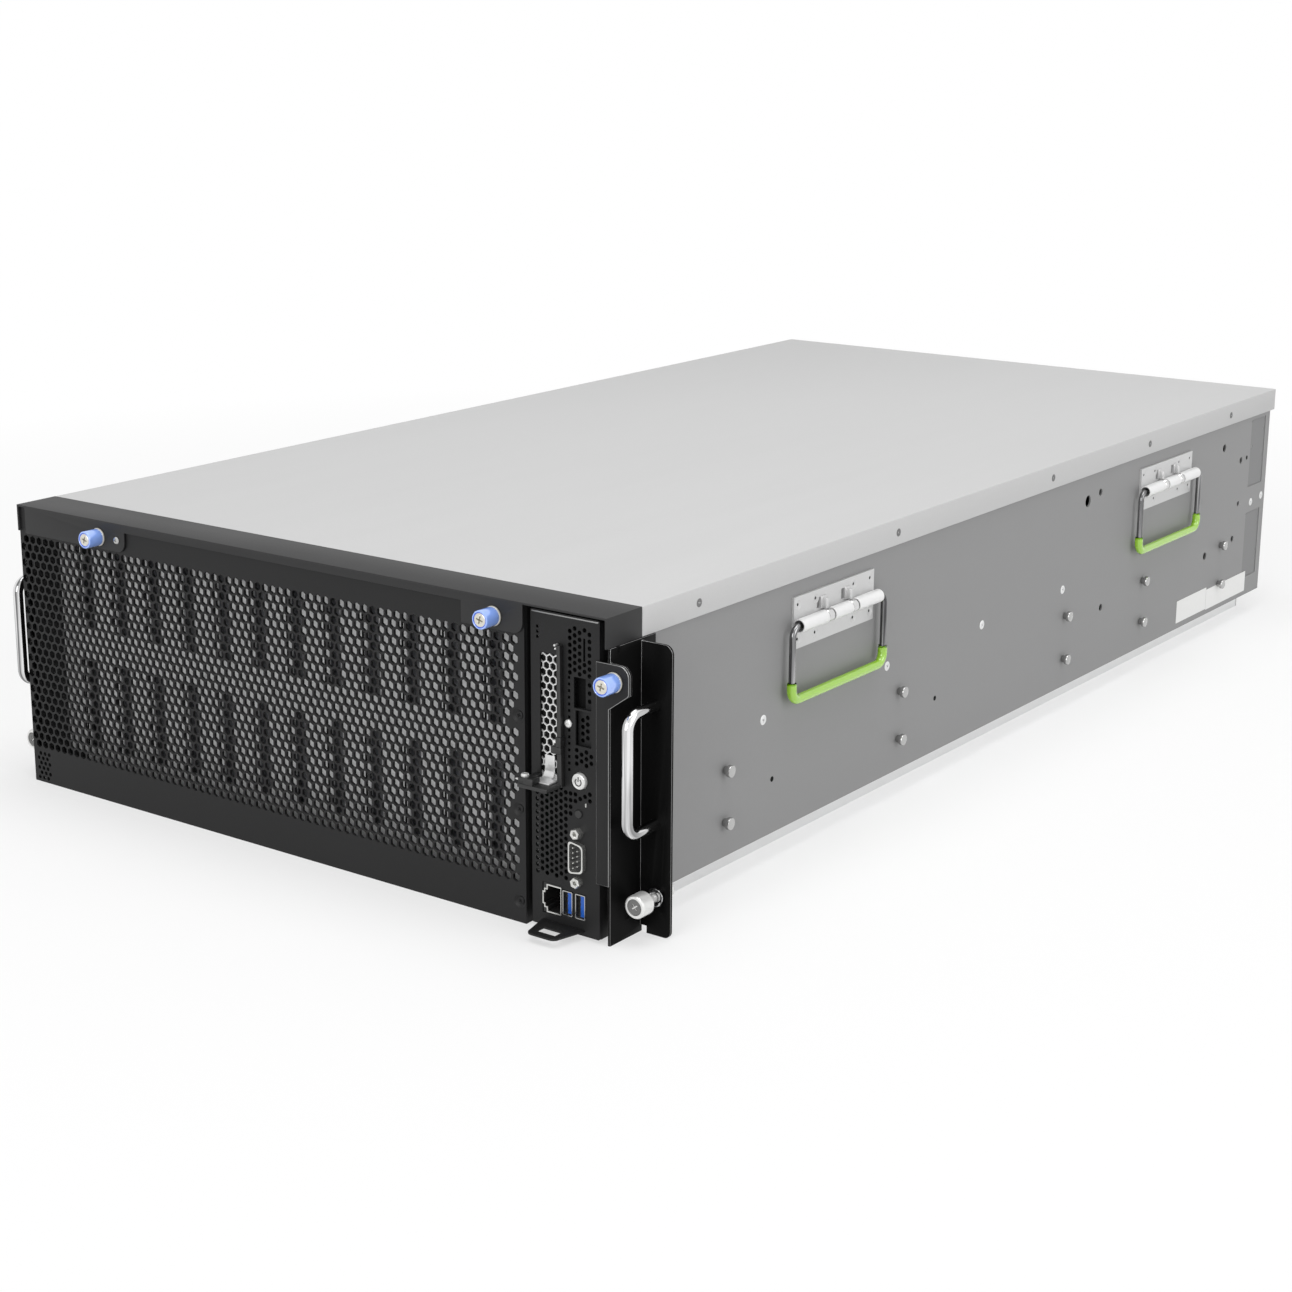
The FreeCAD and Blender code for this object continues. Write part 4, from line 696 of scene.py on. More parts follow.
for side, sign, facing in sides:
    spots = [at(sign * cover_side, y, skirt_screw_z) for y in skirt_screw_spots]
    screws = fitted_copies(f"skirt_screws_{side}", sunk_head, spots, facing, screw_steel, "top_cover")

# Front cap: black sheet folded over the top front edge, with two tabs in front for the thumbscrews.
# One small screw holds it at the left tab.
cap_black = finish_of("cap black", coat, (0.0125, 0.0125, 0.0128), (0.0235, 0.0235, 0.024), (0.5, 0.66),
                      (0.25, 0.0002), Specular_IOR_Level=0.35)
cap = fitted("cap", softened("front_cap", width=0.0006), cap_black, "front_cap", "front_cap")
cap_tab_z = 0.165
cap_screw_place = at(-0.134, 0, cap_tab_z)
cap_small_screw = fitted_copies("cap_small_screw", small_head, [cap_screw_place], to_front, nickel,
                                "front_cap")

# Rack ears: black steel angles riveted to the side walls, the right one with a lug for the module's screw.
# They are cut and bent from plate, and the rounds of their edges are painted light as a highlight.
ear_black = finish_of("ear black", coat, (0.003, 0.003, 0.003), (0.0065, 0.0065, 0.0065), (0.34, 0.46),
                      (0.15, 0.0002), Specular_IOR_Level=0.05)
# Edge highlight: a light metal painted on the rounds of edges as their highlight.
edge_highlight = finish_of("bare edge", coat, (0.2, 0.2, 0.2), (0.34, 0.34, 0.34), (0.25, 0.4), (0.05, 0.0001),
                      Metallic=0.8)
ear_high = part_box("ear_right")[1]
flange_round = 0.008
flange_tighter = 0.003
tab_trim = 0.006
flange_corner = (ear_high.x - flange_round, ear_high.z - sheet_metal - flange_round)
ear_rivet_x = 0.222
ear_rivet_spots = ((0.0095, 0.1568), (0.0185, 0.012))


def trimmed_ear(mesh):
    """The flange's top corner with a tighter round, and the tab at the back shortened."""
    for corner in mesh.vertices:
        out = abs(corner.co.x) - flange_corner[0]
        rise = corner.co.z - flange_corner[1]
        reach = math.hypot(out, rise)
        if out > -1e-6 and rise > -1e-6 and abs(reach - flange_round) < 0.0006:
            share = (reach - flange_tighter) / reach
            corner.co.x = math.copysign(flange_corner[0] + flange_tighter + out * share, corner.co.x)
            corner.co.z = flange_corner[1] + flange_tighter + rise * share
        if corner.co.y > ear_high.y - 0.002:
            corner.co.y -= tab_trim
    return mesh


for side, sign, facing in sides:
    ear_mesh = trimmed_ear(softened(f"ear_{side}", width=0.00035, paints=(ear_black, edge_highlight)))
    ear = fitted(f"rack_ear_{side}", ear_mesh, ear_black, "chassis", f"ear_{side}")
    spots = [at(sign * ear_rivet_x, y, z) for y, z in ear_rivet_spots]
    rivets = fitted_copies(f"ear_rivets_{side}", sunk_head, spots, facing, ear_black, "chassis")

# Ear handles: U-shaped handles bent from steel rod and chrome plated.
# They are screwed to the ears from behind, and pull the server out of its rack.


def rod_streaks_and_reflections():
    """Long streaks that run along a rod: partly draw lines left by the die, partly painted reflection bands.
    """
    group, given, result = effect("drawn rod", {"Streak": 700}, ("Shade", "Height"))
    place = add(group, "ShaderNodeTexCoord").outputs["Object"]
    along = add(group, "ShaderNodeMapping", {"Vector": place, "Scale": (1, 0.03, 0.02)}).outputs[0]
    streak = noise(group, along, given["Streak"], 2)
    spread = add(group, "ShaderNodeMapRange", {"Value": streak, "From Min": 0.34, "From Max": 0.66})
    group.links.new(spread.outputs[0], result["Shade"])
    group.links.new(streak, result["Height"])
    return group


drawn = rod_streaks_and_reflections()
# Chrome: near black to near white in streaks along the rod, partly draw lines and partly painted reflections.
chrome = finish_of("chrome", drawn, (0.16, 0.16, 0.163), (0.86, 0.86, 0.865), (0.06, 0.14), (0.04, 0.0001),
                   Metallic=1.0)
for side in ("right", "left"):
    handle = fitted(f"pull_handle_{side}", softened(f"ear_handle_{side}", width=0.0002), chrome, "chassis",
                    f"ear_handle_{side}")

# Captive rack screws: a knurled knob with a turned neck and thread, held in a ferrule on each ear.
# They are turned steel, nickel plated, with a darker core whose cross recess takes a screwdriver.
white_nickel = finish_of("white nickel", worn, (0.72, 0.72, 0.71), (0.82, 0.82, 0.81), (0.25, 0.38),
                         (0.03, 0.0001), Metallic=0.6)
core_steel = finish_of("core steel", worn, (0.15, 0.15, 0.15), (0.24, 0.24, 0.235), (0.2, 0.35),
                       (0.04, 0.0001), Metallic=1.0)
thread_rows = [(0.003 if row % 2 else 0.0026, -0.0415 + 0.00045 * row) for row in range(20)]
knob_profile = [(0, -0.042), (0.0022, -0.042)] + thread_rows + [
    (0.0023, -0.032), (0.0023, -0.0195), (0.0034, -0.0195), (0.0034, -0.019), (0.0057, -0.019),
    (0.0063, -0.0184), (0.0063, -0.0104), (0.0058, -0.0097), (0.0052, -0.0095), (0.0045, -0.0096),
    (0.0044, -0.0102), (0, -0.0102)]
knob_ridges = (len(knob_profile) - 7, len(knob_profile) - 6)
knob_shape = turned("knob", knob_profile, steps=120, ridged=knob_ridges, ridge=0.00013)
core_profile = [(0, -0.0108), (0.00435, -0.0108), (0.00435, -0.01), (0.0041, -0.0098), (0.0036, -0.0098)]
core_shape = cross_headed("knob_core", core_profile, 32, reach=0.0022, arm=0.0007, deep=0.0013)
core_spin = 0.9
ferrules = fitted("ferrules", softened("ear_ferrules", width=0.0005), chrome, "chassis", "ear_ferrules")
rack_screw_low, rack_screw_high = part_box("ear_screw_right")
rack_screw_x = (rack_screw_low.x + rack_screw_high.x) / 2
rack_screw_z = 0.022
for side, sign in (("right", 1), ("left", -1)):
    body = f"ear_screw_{side}"
    spot = [at(sign * rack_screw_x, 0, rack_screw_z)]
    knob = fitted_copies(f"rack_knob_{side}", knob_shape, spot, to_front, white_nickel, body, body)
    core = fitted_copies(f"rack_knob_core_{side}", core_shape, spot, to_front, core_steel, body,
                         spin=core_spin)

# Thumbscrews: a steel core with a cross recess, a washer under it, and a smooth blue plastic sleeve.
# Two hold the cap by its tabs and one holds the control module to the right ear.
blue_plastic = finish_of("blue plastic", worn, (0.23, 0.39, 0.93), (0.3, 0.47, 1.0), (0.1, 0.2),
                         (0.02, 0.0001), Coat_Weight=1.0, Coat_Roughness=0.16, Coat_IOR=2.2)
# A deeper blue ring fills the gap between the sleeve and the core at the front: painted shade.
recess_shade_blue = finish_of("deep blue", worn, (0.03, 0.09, 0.6), (0.05, 0.13, 0.7), (0.2, 0.35), (0.02, 0.0001))
cream_steel = finish_of("cream steel", worn, (0.62, 0.6, 0.53), (0.74, 0.72, 0.65), (0.22, 0.35),
                        (0.03, 0.0001), Metallic=0.5)
sleeve_profile = [(0.0042, 0.0008), (0.0046, 0.0008), (0.005, 0.0014), (0.0051, 0.0022), (0.0051, 0.0104),
                  (0.005, 0.0109), (0.0047, 0.0112), (0.0044, 0.01125), (0.0042, 0.0111)]
recess_shade_profile = [(0.0036, 0.0102), (0.0043, 0.0102), (0.0043, 0.01105), (0.0041, 0.0111), (0.0037, 0.0109),
                 (0.0036, 0.0107)]
core_head = [(0, -0.009), (0.0014, -0.009), (0.0019, -0.0084), (0.0019, 0.0), (0.0051, 0.0), (0.0053, 0.0002),
             (0.0053, 0.0009), (0.0051, 0.0011), (0.0041, 0.0011), (0.0041, 0.0101), (0.0037, 0.0103),
             (0.0037, 0.0109), (0.0034, 0.0111)]
sleeve_shape = turned("sleeve", sleeve_profile, steps=48, closed=True)
recess_shade_shape = turned("liner", recess_shade_profile, steps=48, closed=True)
steel_shape = cross_headed("steel", core_head, 48, reach=0.0022, arm=0.0009, deep=0.002)
thumb_x = 0.1495
lug_x = 0.2254
lug_z = 0.1425
thumb_places = {"cap_screw_left": at(-thumb_x, 0, cap_tab_z), "cap_screw_right": at(thumb_x, 0, cap_tab_z),
                "module_screw": at(lug_x, 0.0018, lug_z)}
for screw, spot in thumb_places.items():
    sleeve = fitted_copies(f"{screw}_grip", sleeve_shape, [spot], to_front, blue_plastic, screw,
                           f"{screw}_sleeve")
    liner = fitted_copies(f"{screw}_liner", recess_shade_shape, [spot], to_front, recess_shade_blue, screw)
    steel = fitted_copies(f"{screw}_steel", steel_shape, [spot], to_front, cream_steel, screw,
                          f"{screw}_core")

# Carry handles: a zinc-plated plate with eight blind rivets, rolled into a barrel that is cut open twice,
# with a stop lanced out above each opening. The plates are riveted to the side walls.
# The barrel is painted much paler than the plate it is rolled from: a painted highlight on its lit roll.
barrel_zinc_painted_light = finish_of("barrel white zinc", worn, (0.78, 0.78, 0.78), (0.86, 0.86, 0.86), (0.28, 0.4),
                         (0.03, 0.0001), Metallic=0.3)
plate_zinc = finish_of("plate zinc", rolled, (0.56, 0.56, 0.56), (0.64, 0.64, 0.64), (0.3, 0.45),
                       (0.06, 0.0001), Metallic=0.4)
carry_low, carry_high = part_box("carry_plates")
plate_half = 0.043
carry_centres = {"front": carry_low.y + plate_half - front, "rear": carry_high.y - plate_half - front}
plate_thick = 0.0015
plate_face = wall_face + plate_thick
barrel_axis = (wall_face + 0.005, 0.1345)
barrel_parts = ((-0.043, -0.0165), (-0.0095, 0.0095), (0.0165, 0.043))
barrel_gaps = (-0.013, 0.013)
stop_foot = 0.1384
rivet_spots = [(y, z) for y in (-0.0388, -0.0204, 0.0204, 0.0388) for z in (0.1453, 0.1255)]
rivet_profile = [(0, -0.0013), (0.0033, -0.0013), (0.0033, -0.00005), (0.003, 0.0001), (0.0026, -0.00005),
                 (0.0018, -0.0002), (0.0011, -0.0002), (0.0009, -0.0004), (0.0009, -0.0012), (0, -0.0012)]
# A dark plug fills each rivet's hollow: painted shade.
rivet_shade_profile = [(0, -0.0011), (0.00088, -0.0011), (0.00088, -0.0005), (0, -0.00045)]
rivet = turned("rivet", rivet_profile, steps=20)
rivet_hole = turned("rivet_hole", rivet_shade_profile, steps=12)
for side, sign, facing in sides:
    for end, centre in carry_centres.items():
        name = f"{side}_{end}"
        loops = [rounded(centre - plate_half, centre + plate_half, 0.12, 0.15, radius=0.0004)]
        loops += [circle(centre + y, z, radius=0.0031) for y, z in rivet_spots]
        loops += [oblong(centre + gap - 0.0062, centre + gap - 0.0028, 0.139, 0.1452) for gap in barrel_gaps]
        sheet = side_sheet(f"carry_plate_{name}", sign, plate_face, loops, plate_thick, plate_zinc)
        stops = []
        for gap in barrel_gaps:
            for reach, wide, top in ((0.0035, 0.0014, 0.1444), (0.0009, 0.0027, 0.1456)):
                ends = sorted((sign * (plate_face - 0.0004), sign * (plate_face + reach)))
                stop_low = at(ends[0], centre + gap - wide, stop_foot)
                stops.append((stop_low, at(ends[1], centre + gap + wide, top)))
        with_boxes(sheet, stops, round_edges=0.0004)
        plate = fitted(f"carry_plate_{name}", smoothed(sheet), plate_zinc, "chassis")
        spots = [at(sign * plate_face, centre + y, z) for y, z in rivet_spots]
        rivets = fitted_copies(f"carry_rivets_{name}", rivet, spots, facing, plate_zinc, "chassis")
        holes = fitted_copies(f"carry_rivet_holes_{name}", rivet_hole, spots, facing, shade_black, "chassis")
        barrel_mesh = bpy.data.meshes.new(f"carry_barrel_{name}")
        barrel = bmesh.new()
        for start, stop in barrel_parts:
            long = stop - start
            profile = [(0.0032, 0), (0.0037, 0), (0.0039, 0.0002), (0.0039, long - 0.0002), (0.0037, long),
                       (0.0032, long)]
            places, faces = lathe(profile, steps=32, closed=True)
            barrel_end = at(sign * barrel_axis[0], centre + start, barrel_axis[1])
            move = Matrix.Translation(barrel_end) @ Matrix.Rotation(-math.pi / 2, 4, "X")
            corners = [barrel.verts.new(move @ Vector(place)) for place in places]
            for face in faces:
                barrel.faces.new([corners[corner] for corner in face])
        barrel.to_mesh(barrel_mesh)
        barrel.free()
        replaced = ("carry_plates",) if name == "right_front" else ()
        tube = fitted(f"carry_barrel_{name}", smoothed(barrel_mesh), barrel_zinc_painted_light, "chassis", *replaced)

# Bails: bent spring wire, dark plated, that turns in the barrel, with a clip on the wire in each opening.
# The grips are green rubber sleeves moulded over the lower part.


def slimmed(mesh, inset, core=None):
    """A round bar drawn in evenly all round. A bore on a core closes in with it."""
    normals = [entry.vector.copy() for entry in mesh.vertex_normals]
    for corner, normal in zip(mesh.vertices, normals):
        in_bore = core and core.find_nearest(corner.co)[1].dot(normal) < 0
        corner.co += normal * (inset if in_bore else -inset)
    return mesh


# The wire is dark with lighter streaks along it, partly draw lines and partly painted reflections.
wire_steel = finish_of("wire steel", drawn, (0.08, 0.08, 0.082), (0.42, 0.42, 0.425), (0.12, 0.24),
                       (0.03, 0.0001), {"Streak": 900}, Metallic=1.0)
clip_bright = finish_of("clip bright", worn, (0.6, 0.6, 0.6), (0.78, 0.78, 0.78), (0.12, 0.22),
                        (0.03, 0.0001), Metallic=1.0)
green_rubber = finish_of("green rubber", worn, (0.27, 0.56, 0.008), (0.33, 0.63, 0.012), (0.2, 0.3),
                         (0.03, 0.0001), Coat_Weight=1.0, Coat_Roughness=0.22, Coat_IOR=1.8)
clip_profile = [(0.0024, -0.0026), (0.0033, -0.0026), (0.0037, -0.0021), (0.0037, -0.0014), (0.0031, -0.0009),
                (0.0037, -0.0004), (0.0037, 0.0004), (0.0031, 0.0009), (0.0037, 0.0014), (0.0037, 0.0021),
                (0.0033, 0.0026), (0.0024, 0.0026)]
clip_shape = turned("clip", clip_profile, steps=24, closed=True)
bail_inset = 0.0005
for side, sign in (("right", 1), ("left", -1)):
    for end, centre in carry_centres.items():
        name = f"{side}_{end}"
        body = f"carry_handle_{name}"
        wire_mesh = softened(f"bail_{name}", width=0.0002)
        core = BVHTree.FromPolygons([corner.co for corner in wire_mesh.vertices],
                                    [face.vertices for face in wire_mesh.polygons])
        grip_mesh = slimmed(softened(f"grip_{name}", width=0.0006), bail_inset, core)
        wire = fitted(f"bail_wire_{name}", slimmed(wire_mesh, bail_inset), wire_steel, body, f"bail_{name}")
        rubber = fitted(f"rubber_grip_{name}", grip_mesh, green_rubber, body, f"grip_{name}")
        spots = [at(sign * barrel_axis[0], centre + gap, barrel_axis[1]) for gap in barrel_gaps]
        clips = fitted_copies(f"bail_clips_{name}", clip_shape, spots, to_front, clip_bright, body)

# Control module face: black sheet with vent holes, ports and a card window, folded back at its edges.
# A light metal strip along its top fold is a painted highlight. A strip at its right ends in the lug that
# the module's thumbscrew goes through, with the same painted highlight on its rounds.
face_front = 0.003
face_back = face_front + sheet_metal
round_hole = {"Radius": 0.00127, "Corners": 10, "Turn": 0.0, "Stagger": 0.0, "Clearance": 0.0018}


def hole_columns(left, low, columns, rows):
    """Two interlaced grids of round holes, which give columns that step up and down by half a pitch."""
    grid = dict(round_hole, Pitch=0.0062, Step=0.0036, Rows=rows)
    return [dict(grid, Left=left, Low=low, Columns=(columns + 1) // 2),
            dict(grid, Left=left + 0.0031, Low=low + 0.0018, Columns=columns // 2)]


serial_x = 0.202
serial_z = 0.0445


def connector_outline(grow):
    """The serial connector's shell: a tall D, narrower at the right."""
    wide = 0.0045 + grow
    tall = 0.00875 + grow
    slant = 0.0015
    corners = [(serial_x - wide, serial_z - tall), (serial_x + wide, serial_z - tall + slant),
               (serial_x + wide, serial_z + tall - slant), (serial_x - wide, serial_z + tall)]
    return eased(corners, radius=0.0024)


usb_places = (0.1949, 0.2032)
power_spot = (0.2032, 0.086)
identify_spot = (0.2022, 0.068)
face_screw_z = 0.1153
face_left = 0.1715
face_right = 0.2155
face_low = 0.0018
face_top = 0.172
card_window = oblong(0.1774, 0.1908, 0.0827, 0.15)
network_opening = oblong(0.1782, 0.191, 0.0089, 0.0259)
upper_window = rounded(0.1992, 0.2103, 0.1242, 0.1406, radius=0.0005)
lower_window = rounded(0.2002, 0.2103, 0.1045, 0.1232, radius=0.0005)
upper_slit = oblong(0.2052, 0.2065, 0.1496, 0.1615)
pipe_hole = oblong(0.2064, 0.2072, 0.0725, 0.0747)
face_loops = [rounded(face_left, face_right, face_low, face_top, radius=0.001), card_window, network_opening,
              connector_outline(grow=0.0003), circle(*power_spot, radius=0.0046, corners=32),
              circle(*identify_spot, radius=0.0024), upper_window, lower_window, upper_slit, pipe_hole]
face_loops += [oblong(x - 0.0035, x + 0.0035, 0.0103, 0.0245) for x in usb_places]
face_loops += [oblong(0.1751, 0.1767, z - 0.0008, z + 0.0008) for z in (0.1632, 0.1605, 0.1578)]
side_slots = [0.0907 + 0.0035 * row for row in range(15)]
face_loops += [oblong(0.1954, 0.1969, z - 0.0008, z + 0.0008) for z in side_slots
               if abs(z - face_screw_z) > 0.003]
face_fields = hole_columns(0.1752, 0.0312, columns=7, rows=14)
face_fields += hole_columns(0.1969, 0.0672, columns=1, rows=4)
face_fields += hole_columns(0.2, 0.0745, columns=4, rows=2)
face_fields += hole_columns(0.1967, 0.1424, columns=5, rows=7)
face_fields += hole_columns(0.2009, 0.0948, columns=4, rows=3)
face_mesh = punched("module_face", face_loops, face_fields, sheet_metal, face_back, black_coat)
folds_end = 0.0122
with_boxes(face_mesh, [
    (at(face_left, face_back, face_low), at(face_left + sheet_metal, folds_end, face_top)),
    (at(face_right - sheet_metal, face_back, face_low), at(face_right, folds_end, face_top)),
    (at(face_left, face_back, 0.1704), at(face_right, folds_end, 0.1719))], round_edges=0.0004)
face = fitted("module_face", smoothed(face_mesh), black_coat, "control_module", "module_faceplate")
lug_right = 0.2344
lug_top = 0.1515
lug_round = 0.006
lug_corner = [(lug_right - lug_round * (1 - math.cos(turn)), lug_top - lug_round * (1 - math.sin(turn)))
              for turn in (math.pi / 12 * step for step in range(7))]
strip_outline = [(0.214, 0.033), (0.222, 0.033), (0.222, 0.1275), (0.2336, 0.1359), (lug_right, 0.1372)]
strip_outline += lug_corner + [(0.214, lug_top)]
strip_loops = [strip_outline, circle(lug_x, lug_z, radius=0.0023)]
strip_sheet = punched("strip", strip_loops, (), sheet_metal, face_front, black_coat)
# The strip's rounds are painted light as a highlight.
strip_mesh = edge_rounded(strip_sheet, "module_strip", width=0.0003, degrees=60, paints=(black_coat, edge_highlight))
strip = fitted("module_strip", strip_mesh, black_coat, "control_module")
# A light metal strip along the face's top fold: a painted highlight.
brow_highlight_mesh = with_boxes(bpy.data.meshes.new("module_brow"), [
    (at(0.1722, face_front - 0.0003, 0.1706), at(0.2148, face_front + 0.0004, 0.1714))], round_edges=0.00025)
brow_highlight = fitted("module_brow", smoothed(brow_highlight_mesh), edge_highlight, "control_module")

# Behind the face: black plates set back in its two windows, with round holes beside an open slit, and a
# black sheet of painted shade that darkens what shows through the face's openings and the bracket.
# The face's small steel screw and its white light pipe are here too.
window_plate = [rounded(0.2046, 0.211, 0.1236, 0.1412, radius=0.0004)]
window_plate += [circle(0.2071, z, radius=0.00125, corners=12) for z in (0.1367, 0.1324, 0.1281)]
window_plate += [rounded(0.1997, 0.2092, 0.104, 0.1238, radius=0.0004)]
window_plate += [circle(x, z, radius=0.00125, corners=12) for x, low in ((0.2028, 0.1068), (0.2059, 0.1086))
                 for z in (low + 0.0036 * row for row in range(4))]
window_back_mesh = punched("window_backs", window_plate, (), thick=0.0008, back=0.0066, paint=black_coat)
window_backs = fitted("window_backs", window_back_mesh, black_coat, "control_module")
face_shade_loops = [oblong(0.1729, 0.2141, 0.0262, 0.1685), connector_outline(grow=0.0014),
              oblong(0.1963, 0.2077, 0.0288, 0.0351), oblong(0.1963, 0.2077, 0.0539, 0.0602),
              circle(*power_spot, radius=0.0056, corners=32), circle(*identify_spot, radius=0.0036),
              circle(0.2068, 0.0736, radius=0.0018)]
face_shade_mesh = punched("face_film", face_shade_loops, (), thick=0.0003, back=0.0086, paint=shade_black)
with_boxes(face_shade_mesh, [(at(0.173, 0.0053, 0.0815), at(0.1925, 0.0057, 0.1535))], round_edges=0.0001)
face_film = fitted("face_film", face_shade_mesh, shade_black, "control_module")
face_screw_place = at(0.1958, face_front, face_screw_z)
face_screw = fitted_copies("face_screw", small_head, [face_screw_place], to_front, white_nickel,
                           "control_module")
pipe_white = finish_of("light pipe", worn, (0.5, 0.5, 0.48), (0.6, 0.6, 0.58), (0.2, 0.3), (0.02, 0.0001))
pipe_box = (at(0.20645, 0.0026, 0.0726), at(0.20715, 0.008, 0.0746))
pipe_mesh = with_boxes(bpy.data.meshes.new("light_pipe"), [pipe_box], round_edges=0.0002)
fitted("light_pipe", smoothed(pipe_mesh), pipe_white, "control_module")

# Card bracket: bright steel punched with hexagons, its plain foot bent forward on to the retainer's shelf.
# It is thin sheet, and stands close behind the module's card window.
bracket_steel = finish_of("bracket steel", rolled, (0.62, 0.62, 0.62), (0.74, 0.74, 0.74), (0.28, 0.42),
                          (0.04, 0.0001), Metallic=0.5)
bracket_field = {"Left": 0.1742, "Low": 0.0875, "Columns": 5, "Rows": 18, "Pitch": 0.00427, "Step": 0.0037,
                 "Stagger": 0.5, "Radius": 0.00206, "Corners": 6, "Turn": math.pi / 6, "Clearance": 0.0021}
bracket_loops = [oblong(0.173, 0.1919, 0.083, 0.1525)]
bracket_mesh = punched("bracket", bracket_loops, (bracket_field,), thick=0.0008, back=0.0051,
                       paint=bracket_steel)
with_boxes(bracket_mesh, [(at(0.1792, -0.006, 0.083), at(0.1898, 0.0046, 0.084)),
                          (at(0.1796, 0.0038, 0.0838), at(0.186, 0.0046, 0.0955))], round_edges=0.0003)
bend = bmesh.new()
bend.from_mesh(bracket_mesh)
bend_round = 0.004
bend_low = 0.0838
arc = [(0.0039 - bend_round * (1 - math.sin(turn)), bend_low + bend_round * (1 - math.cos(turn)))
       for turn in (math.pi / 2 * step / 6 for step in range(7))]
ends = [[bend.verts.new(at(x, y, z)) for y, z in arc + [(0.0042, bend_low)]] for x in (0.1796, 0.186)]
for step in range(len(ends[0])):
    after = (step + 1) % len(ends[0])
    bend.faces.new((ends[0][step], ends[0][after], ends[1][after], ends[1][step]))
bend.faces.new(ends[0][::-1])
bend.faces.new(ends[1])
bmesh.ops.recalc_face_normals(bend, faces=bend.faces)
bend.to_mesh(bracket_mesh)
bend.free()
bracket = fitted("bracket", smoothed(bracket_mesh), bracket_steel, "control_module", "card_bracket")

# Card retainer: a moulded black arm along the bracket with a shelf under its foot, a hinge knuckle, a
# spring clip at the top and one screw at the shelf's left end.
black_plastic = finish_of("black plastic", worn, (0.01, 0.01, 0.01), (0.018, 0.018, 0.018), (0.35, 0.5),
                          (0.06, 0.0001))
arm_outside = 0.1922
arm_foot = 0.0875
arm_trim = 0.001
retainer_mesh = softened("card_retainer", width=0.0005)
for corner in retainer_mesh.vertices:
    if corner.co.x > arm_outside and corner.co.z > arm_foot:
        corner.co.x -= arm_trim
with_boxes(retainer_mesh, [(at(0.1866, -0.0005, 0.0985), at(0.1932, 0.0032, 0.1025)),
                           (at(0.1902, -0.0012, 0.1025), at(0.1936, 0.003, 0.108)),
                           (at(0.1742, -0.0119, 0.0828), at(0.1836, -0.0052, 0.0864)),
                           (at(0.1742, -0.0119, 0.0828), at(0.1782, 0.0026, 0.0852))], round_edges=0.0005)
retainer = fitted("retainer", smoothed(retainer_mesh), black_plastic, "control_module", "card_retainer")
clip_mesh = with_boxes(bpy.data.meshes.new("retainer_clips"), [
    (at(0.1885, -0.0012, 0.1046), at(0.1905, 0.0015, 0.1062)),
    (at(0.1889, -0.0006, 0.1555), at(0.19, 0.0026, 0.1566)),
    (at(0.1893, -0.0004, 0.1538), at(0.1902, 0.0026, 0.1548)),
    (at(0.1708, -0.0096, 0.0838), at(0.1746, -0.0082, 0.0846))], round_edges=0.0003)
retainer_clips = fitted("retainer_clips", smoothed(clip_mesh), white_nickel, "control_module")
to_top = (0.0, 0.0, 0.0)
shelf_screw_place = at(0.1764, -0.0085, 0.0868)
shelf_screw = fitted_copies("shelf_screw", small_head, [shelf_screw_place], to_top, white_nickel,
                            "control_module")

# Push buttons: a silver power button with the usual sign printed in black, and a small black one below.
# Each has a rim behind the face that keeps it in.
button_silver = finish_of("button silver", worn, (0.66, 0.66, 0.65), (0.78, 0.78, 0.77), (0.25, 0.38),
                          (0.03, 0.0001), Metallic=0.3)
print_black = finish_of("print black", worn, (0.01, 0.01, 0.01), (0.02, 0.02, 0.02), (0.4, 0.6),
                        (0.02, 0.0001))
power_profile = [(0, -0.0088), (0.0043, -0.0088), (0.0043, -0.0025), (0.0053, -0.0025), (0.0053, -0.0015),
                 (0.0043, -0.0015), (0.0043, 0.0011), (0.0041, 0.0016), (0.0037, 0.0018), (0.0034, 0.0017),
                 (0.0031, 0.0018), (0, 0.0019)]
power_shape = turned("power", power_profile, steps=40)
power_place = at(power_spot[0], face_front, power_spot[1])
power_disc = fitted_copies("power_disc", power_shape, [power_place], to_front, button_silver, "power_button",
                           "power_button")
sign_x = power_spot[0]
sign_z = 0.0857
sign_outer = 0.0022
sign_inner = 0.0016
sign_turns = [math.radians(125 + 290 * step / 20) for step in range(21)]
sign_arc = [(sign_x + sign_outer * math.cos(turn), sign_z + sign_outer * math.sin(turn))
            for turn in sign_turns]
sign_arc += [(sign_x + sign_inner * math.cos(turn), sign_z + sign_inner * math.sin(turn))
             for turn in sign_turns[::-1]]
sign_bar = oblong(sign_x - 0.0003, sign_x + 0.0003, 0.0861, 0.0885)
sign_mesh = punched("power_sign", [sign_arc, sign_bar], (), thick=0.0003, back=0.00135, paint=print_black)
power_sign = fitted("power_sign", sign_mesh, print_black, "power_button")
identify_profile = [(0, -0.0088), (0.0022, -0.0088), (0.0022, -0.0025), (0.0032, -0.0025), (0.0032, -0.0015),
                    (0.0022, -0.0015), (0.0022, 0.0004), (0.0019, 0.0008), (0.0012, 0.0008), (0, 0.0006)]
identify_shape = turned("identify", identify_profile, steps=24)
identify_place = at(identify_spot[0], face_front, identify_spot[1])
identify_disc = fitted_copies("identify_disc", identify_shape, [identify_place], to_front, black_plastic,
                              "identify_button", "identify_button")

